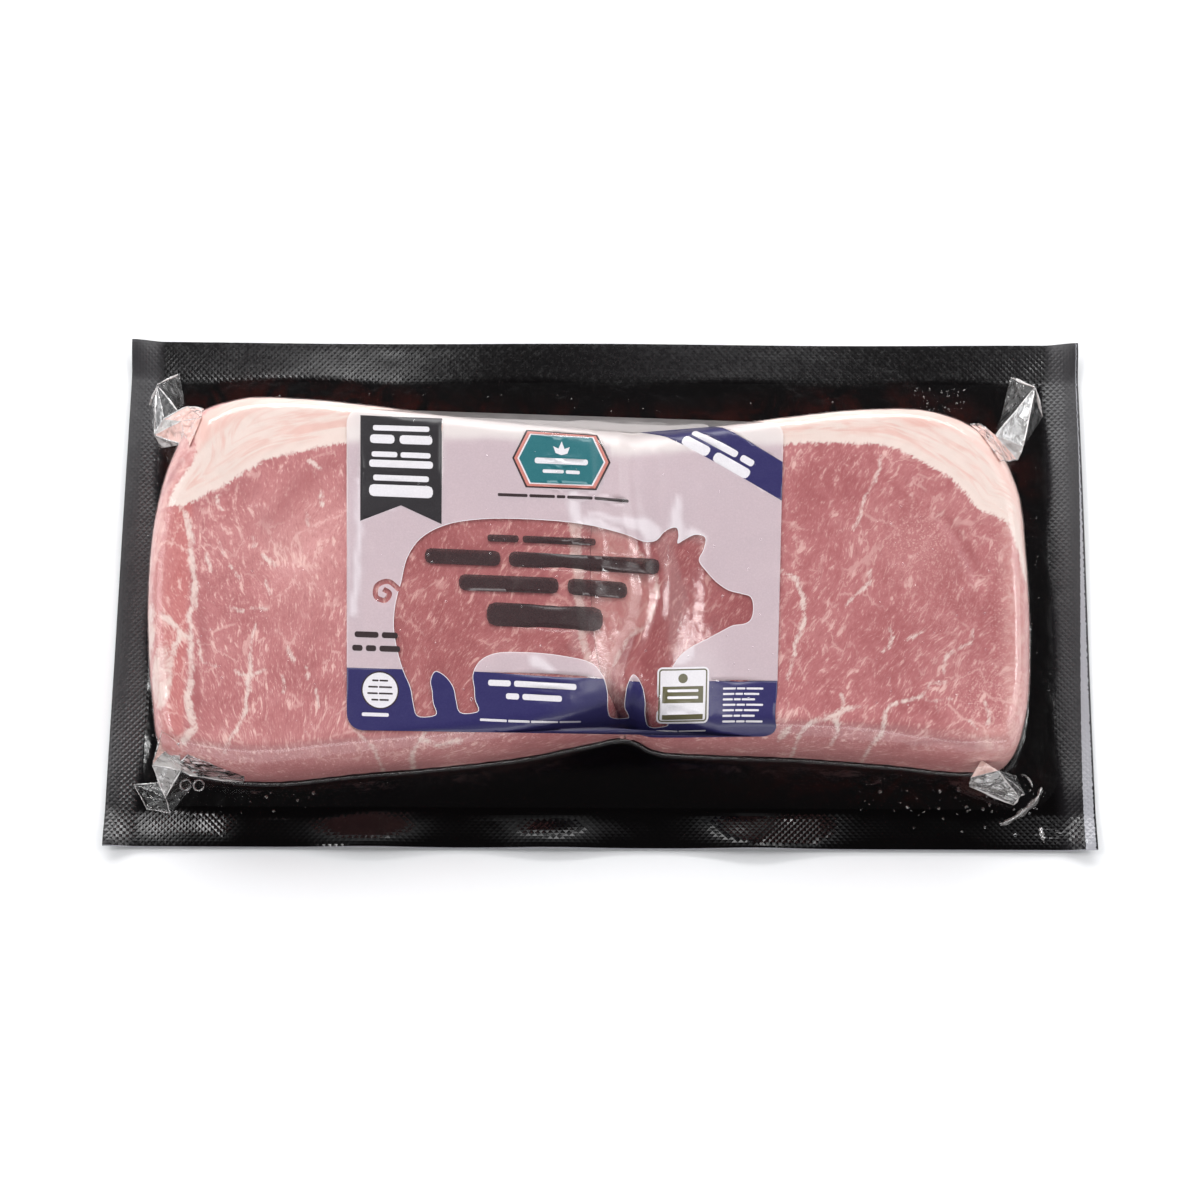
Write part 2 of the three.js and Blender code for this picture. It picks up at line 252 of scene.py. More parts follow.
def wavered(x, y):
    """Places shifted a little this way and that, so that lines drawn there waver."""
    shift_x = 0.24 * np.sin(y / 1.9 + 1.3 * np.sin(x / 2.7)) + 0.13 * np.sin(y / 0.83 + x / 1.9)
    shift_y = 0.24 * np.sin(x / 2.1 + 1.1 * np.sin(y / 3.1)) + 0.13 * np.sin(x / 0.91 - y / 1.7)
    return x + shift_x, y + shift_y


def inside_bands(x, y, bands, share_of_width=1.0):
    """How far inside the nearest band each point is; negative outside them all."""
    best = np.full(x.shape, -50.0)
    x, y = wavered(x, y)
    for line, start, end in bands:
        curve = centripetal(line, 6) if len(line) > 2 else np.array(line, float)
        (ax, ay), (dx, dy) = curve[0], curve[-1] - curve[0]
        share = np.clip(((x - ax) * dx + (y - ay) * dy) / (dx**2 + dy**2), 0, 1)
        half_width = share_of_width * (start + (end - start) * share)
        best = np.maximum(best, half_width - np.abs(distance_to(x, y, curve)))
    return best


def left_of(x, y, line):
    """How far to the left of a smooth line each point is; negative on its right."""
    return distance_to(x, y, centripetal(line, 5))


def to_the_left(curve, closed=False):
    """Directions straight to the left of a curve, at each of its points."""
    if closed:
        ahead = np.roll(curve, -1, axis=0) - np.roll(curve, 1, axis=0)
    else:
        ahead = np.gradient(curve, axis=0)
    ahead = ahead / np.linalg.norm(ahead, axis=1, keepdims=True)
    return np.stack([-ahead[:, 1], ahead[:, 0]], axis=1)


def circle_outline(centre, radius, count=40):
    turn = np.arange(count) / count * 2 * math.pi
    return np.column_stack([centre[0] + radius * np.cos(turn), centre[1] + radius * np.sin(turn)]).tolist()


RING = centripetal(OUTLINE, PER_SPAN, closed=True)


def shoulder_width(x, y):
    meeting = np.where(y < 0, 6.0, 3.0) * bump(x, 7, 13)
    back_left = 7.0 * spot(x, y, (-108, 40), (16, 22))
    back_right = 3.0 * spot(x, y, (102, 36), (14, 18))
    return SHOULDER + meeting + back_left + back_right


def crown_height(x, y):
    depth = VALLEY_DEPTH_BACK + (VALLEY_DEPTH_FRONT - VALLEY_DEPTH_BACK) * smooth((25 - y) / 60)
    swell = 0.9 * bump(x, -62, 42) + 1.3 * bump(x, 64, 36)
    ripple = 0.35 * np.sin(x / 13 + 0.6) * np.cos(y / 15 - 0.4)
    return CHOP_HEIGHT + swell + ripple - depth * bump(x, VALLEY_X, VALLEY_HALF_WIDTH)


# Soft folds in the chops that the film follows: their lines, depths and half widths.
FOLDS = [
    ([(84.5, 12.5), (88.5, 7.5), (91.5, 1.5), (93.5, -3)], 0.40, 1.6),
    ([(60, -41.5), (74, -41), (90, -42)], 0.40, 1.4),
    ([(-92, 20), (-86, 10), (-80, 2)], 0.4, 5.0),
    ([(-62, 22), (-70, 10), (-84, -4)], 0.35, 4.0),
    ([(8, 36), (7, 22), (9, 8), (11, -6), (9, -16), (5.5, -26), (6.5, -37)], 0.9, 2.2),
]


def film_height(x, y):
    """Height of the clear film over the web."""
    t = np.clip(distance_to(x, y, RING, closed=True) / shoulder_width(x, y), 0.0, 1.0)
    rise = (1.0 - (1.0 - t) ** SHOULDER_POWER) ** (1.0 / SHOULDER_POWER)
    height = BRIM_THICKNESS + (crown_height(x, y) - BRIM_THICKNESS) * rise
    for line, depth, half_width in FOLDS:
        height = height - depth * rise * bump(distance_to(x, y, np.array(line)), 0, half_width)
    return height


def normals_of(height, x, y):
    """Directions straight out of a height function's surface."""
    step = 0.3
    slope_x = (height(x + step, y) - height(x - step, y)) / (2 * step)
    slope_y = (height(x, y + step) - height(x, y - step)) / (2 * step)
    out = np.stack([-slope_x, -slope_y, np.ones_like(slope_x)], axis=-1)
    return out / np.linalg.norm(out, axis=-1, keepdims=True)


def grid_normals(points):
    """Directions straight out of a grid of points."""
    out = np.cross(np.gradient(points, axis=1), np.gradient(points, axis=0))
    return out / np.linalg.norm(out, axis=-1, keepdims=True)


# Tight creases of the film and the label where they cross the hollow between the chops.
CREASES = [
    ([(4, -41), (6.5, -34), (9, -26)], 0.55, 0.8),
    ([(11, -41), (10.5, -35), (12.5, -28)], 0.5, 0.9),
    ([(16.5, -42), (15, -36), (16, -31)], 0.3, 0.9),
    ([(-4, 39), (-3, 28), (-1.5, 14), (0, 2), (-2, -8)], 0.34, 1.3),
    ([(3.5, 39), (4.5, 24), (6, 12), (9, 3)], 0.32, 1.1),
    ([(13, 30), (16, 16), (17.5, 2), (17, -12)], 0.30, 1.1),
    ([(24, 20), (26, 4), (25.5, -12)], 0.20, 1.1),
    ([(-12, 34), (-10, 20), (-8, 6)], 0.18, 1.4),
    ([(-24, -41), (-10, -37), (2, -33)], 0.25, 0.9),
    ([(30, -41), (24, -36), (17, -33)], 0.22, 1.0),
]


def creased_height(x, y):
    """Film height with its tight creases."""
    height = film_height(x, y)
    for line, rise, half_width in CREASES:
        height = height + rise * bump(distance_to(x, y, centripetal(line, 4)), 0, half_width)
    return height


def film_top(x, y):
    """Height of the creased film over the table, rounded where it comes down on the web."""
    return WEB_TOP + np.hypot(creased_height(x, y), FILM_FILLET)


def rim_lift(x, y, sizes):
    """How far the rim of the web curls off the table."""
    long_curl = smooth(1 - (PACK_WIDTH / 2 - np.abs(y)) / (sizes.long_seal / MM))
    short_curl = smooth(1 - (PACK_LENGTH / 2 - np.abs(x)) / (sizes.short_seal / MM))
    front = 0.8 + 2.0 * bump(x, -58, 12) + 1.7 * bump(x, -12, 12) + 2.2 * bump(x, 39, 12)
    back = 0.9 + 0.5 * np.cos(x / 19)
    long_lift = np.where(y < 0, front, back) * long_curl
    short_lift = (1.2 + 0.5 * np.sin(y / 17)) * short_curl
    corner_lift = np.where(y < 0, 0.6, 1.4) * long_curl * short_curl
    return long_lift + short_lift + corner_lift


# Meshes

def mesh_object(name, points, faces, materials, slots=None, smooth_faces=True):
    """A mesh object from points in millimetres."""
    mesh = bpy.data.meshes.new(name)
    mesh.from_pydata((np.asarray(points) * MM).tolist(), [], faces)
    for material in materials:
        mesh.materials.append(material)
    if slots is not None:
        mesh.polygons.foreach_set("material_index", np.asarray(slots, np.int32))
    if isinstance(smooth_faces, bool):
        smooth_faces = [smooth_faces] * len(faces)
    mesh.polygons.foreach_set("use_smooth", smooth_faces)
    mesh.validate()
    mesh.update()
    made = bpy.data.objects.new(name, mesh)
    bpy.context.scene.collection.objects.link(made)
    return made


def keep_values(piece, name, values):
    """Stores one number for each vertex, for the piece's material to read; 0 where values has run out."""
    numbers = np.zeros(len(piece.data.vertices), np.float32)
    numbers[:np.size(values)] = np.ravel(values)
    piece.data.attributes.new(name, "FLOAT", "POINT").data.foreach_set("value", numbers)


def on_pack(piece, slot, *nodes):
    """Puts a finished piece on the pack, in place of the solids that it stands for."""
    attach(piece, BODY)
    if nodes:
        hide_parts(*nodes)


def grid_cells(columns, rows):
    """The first vertex of each cell of a grid of vertices, row by row."""
    return (np.arange(rows - 1)[:, None] * columns + np.arange(columns - 1)[None, :]).ravel()


def grid_faces(columns, rows):
    a = grid_cells(columns, rows)
    return np.stack([a, a + 1, a + columns + 1, a + columns], axis=1).tolist()


def grid_border(columns, rows):
    """Indices round a grid's border, anticlockwise from its first vertex."""
    bottom = np.arange(columns - 1)
    right = np.arange(rows - 1) * columns + columns - 1
    top = rows * columns - 1 - np.arange(columns - 1)
    left = (rows - 1 - np.arange(rows - 1)) * columns
    return np.concatenate([bottom, right, top, left])


def strip_faces(lower, upper):
    """Quads between two closed loops of as many vertices."""
    return np.stack([lower, np.roll(lower, -1), np.roll(upper, -1), upper], axis=1).tolist()


def tube_faces(rings, sides):
    """Quads between rings of points that follow one another, and the rings' indices."""
    loops = np.arange(rings * sides).reshape(rings, sides)
    return [quad for lower, upper in zip(loops[:-1], loops[1:]) for quad in strip_faces(lower, upper)], loops


def joined(parts):
    """Points and faces of several parts as those of one mesh."""
    all_points, all_faces = [], []
    for points, faces in parts:
        all_faces += [[len(all_points) + index for index in face] for face in faces]
        all_points += [tuple(point) for point in points]
    return all_points, all_faces


def shoulder_stations(length, step, shoulder_steps):
    """Shares of a length from 0 to 1: close where the shoulders at both ends are steep, even between them."""
    turn = np.arange(1, shoulder_steps + 1) / shoulder_steps * math.pi / 2
    insets = SHOULDER * (1.0 - np.cos(turn) ** (2.0 / SHOULDER_POWER))
    middle = int(round((length - 2 * SHOULDER) / step))
    between = np.linspace(insets[-1], length - insets[-1], middle + 1)[1:-1]
    return np.concatenate([[0.0], insets, between, (length - insets)[::-1], [length]]) / length


def stretched(front, right, back, left, u, v):
    """Grid of places that four sides stretch between them, as x and y, rows from front to back."""
    front, back = along(front, u), along(back, u)
    left, right = along(left, v), along(right, v)
    us, vs = u[None, :, None], v[:, None, None]
    sides = (1 - vs) * front[None] + vs * back[None] + (1 - us) * left[:, None] + us * right[:, None]
    corners = (1 - us) * ((1 - vs) * front[0] + vs * back[0]) + us * ((1 - vs) * front[-1] + vs * back[-1])
    return np.moveaxis(sides - corners, -1, 0)


def outline_sides():
    """The outline's four sides as polylines, front and back towards +X, left and right towards +Y."""
    counts = np.cumsum([0, len(FRONT_EDGE) + 1, len(RIGHT_EDGE) + 1, len(BACK_EDGE) + 1, len(LEFT_EDGE) + 1])
    ring = np.vstack([RING, RING[:1]])
    front, right, back, left = (
        ring[a * PER_SPAN:b * PER_SPAN + 1] for a, b in zip(counts[:-1], counts[1:])
    )
    return front, right, back[::-1], left[::-1]


# Materials

CHOP_VALUES = ("cap", "vein", "skin", "muscle", "dark", "haze", "specks", "stain")


class Nodes:
    """The nodes of one material or world. Each input takes a number, a tuple or another node's output."""

    def __init__(self, holder, output="OutputMaterial"):
        self.holder = holder
        holder.use_nodes = True
        self.tree = holder.node_tree
        self.tree.nodes.clear()
        self.output = self.add(output)

    def add(self, kind, inputs=None, **settings):
        made = self.tree.nodes.new("ShaderNode" + kind)
        for key, value in settings.items():
            setattr(made, key, value)
        for key, value in (inputs or {}).items():
            self.feed(made.inputs[key], value)
        return made

    def feed(self, socket, value):
        if isinstance(value, bpy.types.NodeSocket):
            self.tree.links.new(value, socket)
        elif socket.type == "RGBA" and len(value) == 3:
            socket.default_value = (*value, 1.0)
        else:
            socket.default_value = value

    def math(self, operation, *values, clamp=False):
        return self.add("Math", dict(enumerate(values)), operation=operation, use_clamp=clamp).outputs[0]

    def times(self, a, b):
        return self.math("MULTIPLY", a, b)

    def times_plus(self, a, b, c):
        return self.math("MULTIPLY_ADD", a, b, c)

    def larger(self, a, b):
        return self.math("MAXIMUM", a, b)

    def ratio(self, a, b):
        return self.math("DIVIDE", a, b)

    def vector(self, operation, a, b):
        made = self.add("VectorMath", {0: a}, operation=operation)
        self.feed(made.inputs["Scale" if operation == "SCALE" else 1], b)
        return made.outputs[0]

    def split(self, vector):
        return tuple(self.add("SeparateXYZ", {0: vector}).outputs)

    def join(self, x, y, z):
        return self.add("CombineXYZ", {0: x, 1: y, 2: z}).outputs[0]

    def mix(self, factor, a, b):
        return self.add("Mix", {0: factor, 6: a, 7: b}, data_type="RGBA").outputs[2]

    def step(self, value, low, high, bottom=0.0, top=1.0):
        """Smooth change from bottom to top as a value goes from low to high."""
        given = {"Value": value, "From Min": low, "From Max": high, "To Min": bottom, "To Max": top}
        return self.add("MapRange", given, interpolation_type="SMOOTHSTEP").outputs[0]

    def noise(self, vector, scale=1.0, detail=2.0, roughness=0.5, distortion=0.0):
        given = {"Vector": vector, "Scale": scale, "Detail": detail}
        given.update({"Roughness": roughness, "Distortion": distortion})
        return self.add("TexNoise", given).outputs[0]

    def edges(self, vector, scale=1.0):
        """Distance to the walls between Voronoi cells."""
        given = {"Vector": vector, "Scale": scale}
        return self.add("TexVoronoi", given, feature="DISTANCE_TO_EDGE").outputs["Distance"]

    def value(self, name):
        """A number stored on the piece's vertices."""
        return self.add("Attribute", attribute_name=name).outputs["Fac"]

    def millimetres(self):
        """The place on the pack, in millimetres."""
        return self.vector("SCALE", self.add("TexCoord").outputs["Object"], 1.0 / MM)

    def bump(self, height, strength, depth):
        return self.add("Bump", {"Height": height, "Strength": strength, "Distance": depth * MM}).outputs[0]

    def solid(self, tone, roughness, gloss, normal=None):
        """An opaque shader."""
        given = {"Base Color": tone, "Roughness": roughness, "Specular IOR Level": gloss}
        if normal is not None:
            given["Normal"] = normal
        return self.add("BsdfPrincipled", given).outputs[0]

    def surface(self, shader):
        self.tree.links.new(shader, self.output.inputs["Surface"])
        return self.holder


def material_nodes(name):
    return Nodes(bpy.data.materials.new(name))


# How much of the light a film mirrors where it is seen square on
MIRROR_FACING = 0.045


def film_shader(n, clear_colour, roughness, share, normal, haze=None, haze_colour=None, at_edge=0.95):
    """Thin film: what is behind shows through, and the face mirrors more at a slant, up to at_edge."""
    clear = n.add("BsdfTransparent", {"Color": clear_colour}).outputs[0]
    gloss = n.add("BsdfAnisotropic", {"Color": (1.0, 1.0, 1.0), "Roughness": roughness, "Normal": normal})
    slant = n.add("LayerWeight", {"Blend": 0.5, "Normal": normal}).outputs["Facing"]
    slant = n.times_plus(n.math("POWER", slant, 5.0), at_edge, MIRROR_FACING)
    lit = n.math("SUBTRACT", 1.0, n.add("LightPath").outputs["Is Shadow Ray"])
    mirror = n.math("MULTIPLY", slant, n.times(lit, share), clamp=True)
    if haze is not None:
        pale = n.add("BsdfDiffuse", {"Color": haze_colour, "Normal": normal}).outputs[0]
        clear = n.add("MixShader", {0: haze, 1: clear, 2: pale}).outputs[0]
    return n.add("MixShader", {0: mirror, 1: clear, 2: gloss.outputs[0]}).outputs[0]


def clear_film_material():
    n = material_nodes("clear_film")
    normal = n.bump(n.noise(n.millimetres(), 0.22, 2.0, 0.5, 0.3), 0.35, 0.7)
    return n.surface(film_shader(n, (0.985, 0.98, 0.98), 0.15, 0.9, normal, at_edge=0.5))


def folded_film_material():
    """Spare film: clear in open facets, silvery where its layers part and whitish where it is crumpled; on
    the creases the whitish haze is partly painted highlight.
    """
    n = material_nodes("folded_film")
    place = n.millimetres()
    rough = n.noise(place, 0.30, 2.0, 0.5, 1.0)
    haze = n.times(n.value("haze"), n.step(rough, 0.36, 0.58, 0.72, 1.0))
    haze_tone = n.mix(n.step(n.value("haze"), 0.70, 0.84), (0.82, 0.77, 0.745), (0.78, 0.475, 0.415))
    silver = n.times(n.value("silver"), n.step(rough, 0.34, 0.66, 0.25, 1.0))
    share = n.times_plus(silver, 13.0, 1.0)
    normal = n.bump(rough, 0.62, 1.6)
    return n.surface(film_shader(n, (0.90, 0.90, 0.91), 0.12, share, normal, haze, haze_tone))


def water_material():
    n = material_nodes("water_drops")
    normal = n.add("NewGeometry").outputs["Normal"]
    return n.surface(film_shader(n, (0.94, 0.93, 0.94), 0.04, 2.2, normal))


def meat_material(name, colours, fan_centre, fan_reach):
    """Raw pork. The muscle's grain runs out from fan_centre; fan_reach away from it, flecks are full size."""
    n = material_nodes(name)
    place = n.millimetres()
    cap, vein, skin, muscle, dark, haze, specks, stain = (n.value(key) for key in CHOP_VALUES)

    # Coordinates across and along the grain
    x, y, z = n.split(n.vector("SUBTRACT", place, (*fan_centre, 0.0)))
    below_shoulder = n.math("MINIMUM", n.math("SUBTRACT", z, SHOULDER_FOOT), 0.0)
    in_front = n.step(y, -36.0 - fan_centre[1], -30.0 - fan_centre[1], 1.0, 0.0)
    y = n.times_plus(below_shoulder, in_front, y)
    wander = n.noise(place, 0.05, 2.0)
    bearing = n.times_plus(n.math("ARCTAN2", x, y), fan_reach, n.times(wander, 9.0))
    reach = n.math("SQRT", n.times_plus(x, x, n.times(y, y)))

    def divided(*pairs):
        return n.join(*(n.ratio(value, size) for value, size in pairs))

    def grain_place(across, lengthways):
        return divided((bearing, across), (reach, lengthways), (z, across * 1.6))

    # Marbling: flecks along the grain in loose clusters, and thin branching threads
    cluster = n.noise(place, 0.075, 3.0, 0.6, 0.5)
    long_grain = n.noise(grain_place(1.45, 4.6), 1.0, 3.0, 0.58, 0.25)
    mottle = n.noise(grain_place(0.42, 1.30), 1.0, 2.0, 0.60)
    coarse = n.step(n.times_plus(cluster, 0.30, long_grain), 0.735, 0.850, 0.0, 0.95)
    fine = n.step(n.times_plus(long_grain, 0.35, mottle), 0.755, 0.895, 0.0, 0.62)
    thread_x = n.times_plus(long_grain, 1.1, n.ratio(bearing, 6.5))
    thread_y = n.times_plus(mottle, 0.12, n.ratio(reach, 10.0))
    walls = n.edges(n.join(thread_x, thread_y, n.ratio(z, 9.0)))
    thread = n.times(n.step(walls, 0.010, 0.045, 0.55, 0.0), n.step(cluster, 0.47, 0.56))
    speck = n.times(n.step(n.noise(place, 1.9, 2.0, 0.6), 0.55, 0.66), specks)
    fleck = n.larger(n.larger(coarse, fine), n.larger(thread, speck))

    # Lean, from deep to pale
    lean = n.mix(n.step(cluster, 0.34, 0.54, 0.45, 1.0), colours.lean_dark, colours.lean)
    for share, tone in (
        (n.step(cluster, 0.50, 0.68, 0.0, 0.32), colours.lean_pale),
        (n.step(long_grain, 0.50, 0.70, 0.0, 0.45), colours.lean_pale),
        (n.step(long_grain, 0.30, 0.47, 0.45, 0.0), colours.lean_dark),
        (muscle, colours.muscle),
        (haze, colours.lean_pale),
        (n.step(mottle, 0.44, 0.74, 0.0, 0.34), colours.lean_pale),
        (n.step(mottle, 0.28, 0.50, 0.34, 0.0), colours.lean_dark),
    ):
        lean = n.mix(share, lean, tone)
    skin_noise = n.noise(place, 0.34, 3.0, 0.65, 0.8)
    skin_tone = n.mix(n.step(skin_noise, 0.42, 0.68), colours.skin, colours.fleck)
    skin_tone = n.mix(n.step(skin_noise, 0.28, 0.44, 0.5, 0.0), skin_tone, colours.muscle)
    # Pale sides, marbling, and the painted shade along folds, in the dark lean tone.
    for value, most, tone in (
        (skin, 0.88, skin_tone), (fleck, 0.85, colours.fleck), (dark, 0.8, colours.lean_dark),
    ):
        lean = n.mix(n.times(value, most), lean, tone)

    # Fat, with short teeth at its edges and stains that run along the cap; part of the pink past the right
    # chop's fat fold is painted shade.
    teeth = n.math("SUBTRACT", n.times_plus(skin_noise, 0.8, mottle), 0.9)
    cap_edge = n.times_plus(teeth, 2.6, cap)
    vein_edge = n.times_plus(teeth, 1.5, vein)
    patchy = n.step(skin_noise, 0.36, 0.56, 0.45, 1.0)
    streaked = n.times(n.step(vein_edge, -0.5, 0.5, 0.0, 0.82), patchy)
    is_fat = n.larger(n.step(cap_edge, -0.4, 0.6), streaked)
    along_pack, across_pack, _ = n.split(place)
    streak = n.noise(divided((along_pack, 13.0), (across_pack, 13.0), (cap, 1.5)), 1.0, 3.0, 0.6, 0.7)
    stained = n.times(n.step(streak, 0.42, 0.66, 0.0, 0.8), n.step(cap, 1.0, 4.0))
    stain = n.times(stain, n.step(streak, 0.30, 0.60, 0.45, 1.0))
    stained = n.larger(stained, stain)
    fat = n.mix(stained, colours.fat, colours.fat_pink)
    tone = n.mix(n.times(is_fat, 0.97), lean, fat)

    relief = n.times_plus(mottle, 0.35, n.times(cluster, 1.4))
    return n.surface(n.solid(tone, n.step(cluster, 0.3, 0.7, 0.36, 0.52), 0.4, n.bump(relief, 0.4, 0.3)))


def web_material(colours):
    n = material_nodes("black_web")
    place = n.millimetres()
    juice, seal, matte_and_painted_sheen = n.value("juice"), n.value("seal"), n.value("matte_and_painted_sheen")
    x, y, z = n.split(place)
    stain = n.times(juice, n.step(n.noise(place, 0.10, 3.0, 0.6, 1.5), 0.40, 0.66))
    dust = n.noise(place, 0.9, 4.0, 0.7)
    tone = n.mix(stain, colours.web, colours.juice)
    tone = n.mix(n.step(dust, 0.60, 0.85, 0.0, 0.30), tone, (0.02, 0.019, 0.021))
    # Painted sheen: lighter grey on the ends and the back edge, where the curled seal band would catch light;
    # these strips are also rougher.
    tone = n.mix(matte_and_painted_sheen, tone, colours.painted_sheen_web)

    # Pale strip of clear film past the right end of the black, frayed at its edge, and a thin one in front
    frayed = n.noise(n.join(0.0, n.times(y, 0.9), 0.0), 1.0, 3.0, 0.8)
    strip_width = n.times_plus(frayed, 0.9, n.step(y, 45.0, -60.0, 0.2, 2.5))
    end, front = PACK_LENGTH / 2, -PACK_WIDTH / 2
    right_strip = n.step(n.math("SUBTRACT", x, n.math("SUBTRACT", end, strip_width)), -0.06, 0.06)
    fringe = n.step(n.times_plus(frayed, 1.6, x), end + 0.25, end + 0.4, 1.0, 0.0)
    front_strip = n.step(n.times_plus(frayed, 0.5, y), front + 0.35, front + 0.55, 0.8, 0.0)
    strip = n.larger(n.times(right_strip, fringe), front_strip)
    tone = n.mix(strip, tone, colours.selvage)

    roughness = n.times_plus(seal, 0.10, n.step(dust, 0.35, 0.75, 0.07, 0.20))
    roughness = n.times_plus(matte_and_painted_sheen, 0.25, roughness)
    sheen = n.larger(n.step(y, -56.0, -46.0, 0.45, 1.0), n.step(x, -96.0, -108.0, 0.0, 0.9))
    roughness = n.times(roughness, sheen)
    pulled = n.noise(n.join(n.ratio(x, 5.0), n.ratio(y, 1.1), z), 1.0, 1.0)
    beside_meat = n.times(n.step(x, 107.0, 110.0), n.step(x, 117.0, 114.0, 0.0, 0.4))
    pulled = n.times(pulled, beside_meat)
    height = n.math("ADD", pulled, n.noise(place, 0.09, 1.0, 0.5, 0.5))
    gloss = n.times_plus(seal, 0.45, n.times_plus(matte_and_painted_sheen, -0.1, 0.42))
    return n.surface(n.solid(tone, roughness, n.times(sheen, gloss), n.bump(height, 0.3, 0.7)))


def print_material(name, tone, roughness, cover, air_cover=0.0):
    """A printed field of the label: see-through by what cover leaves, whiter over fat, paler where it lifts
    off the film; that paleness is partly painted sheen.
    """
    n = material_nodes(name)
    place = n.millimetres()
    grainy = n.noise(place, 2.4, 2.0, 0.7)
    paler = tuple(min(1.0, part * 1.3 + 0.02) for part in tone)
    worn = n.mix(n.step(grainy, 0.35, 0.8, 0.0, 0.30), tone, paler)
    if air_cover:
        air = n.value("air")
        worn = n.mix(n.times(n.value("fat_below"), 0.8), worn, (0.86, 0.81, 0.79))
        # Paler where the label lifts off the film; this paleness also paints the sheen along its creases.
        worn = n.mix(n.times(air, 0.38), worn, (0.82, 0.78, 0.80))
        cover = n.times_plus(air, air_cover, cover)
    height = n.times_plus(grainy, 0.12, n.noise(place, 0.25, 1.0))
    shader = n.solid(worn, roughness, 0.5, n.bump(height, 0.3, 0.5))
    if air_cover or cover < 1.0:
        behind = n.add("BsdfTransparent", {"Color": (1.0, 1.0, 1.0)}).outputs[0]
        shader = n.add("MixShader", {0: cover, 1: behind, 2: shader}).outputs[0]
    return n.surface(shader)


def label_window_material():
    n = material_nodes("label_window")
    place = n.millimetres()
    normal = n.bump(n.noise(place, 0.3, 2.0), 0.35, 0.6)
    # Milky where the label lifts off the film, which also paints sheen along its creases.
    milky = n.times_plus(n.value("air"), 0.11, 0.01)
    return n.surface(film_shader(n, (0.90, 0.845, 0.845), 0.14, 0.5, normal, milky, (0.76, 0.60, 0.58)))


def floor_material(colours):
    n = material_nodes("pale_floor")
    place = n.millimetres()
    tone = n.mix(n.step(n.noise(place, 0.01, 2.0), 0.3, 0.7, 0.0, 0.03), colours.floor, (0.75, 0.75, 0.76))
    return n.surface(n.solid(tone, 0.7, 0.2))


# Black backing film

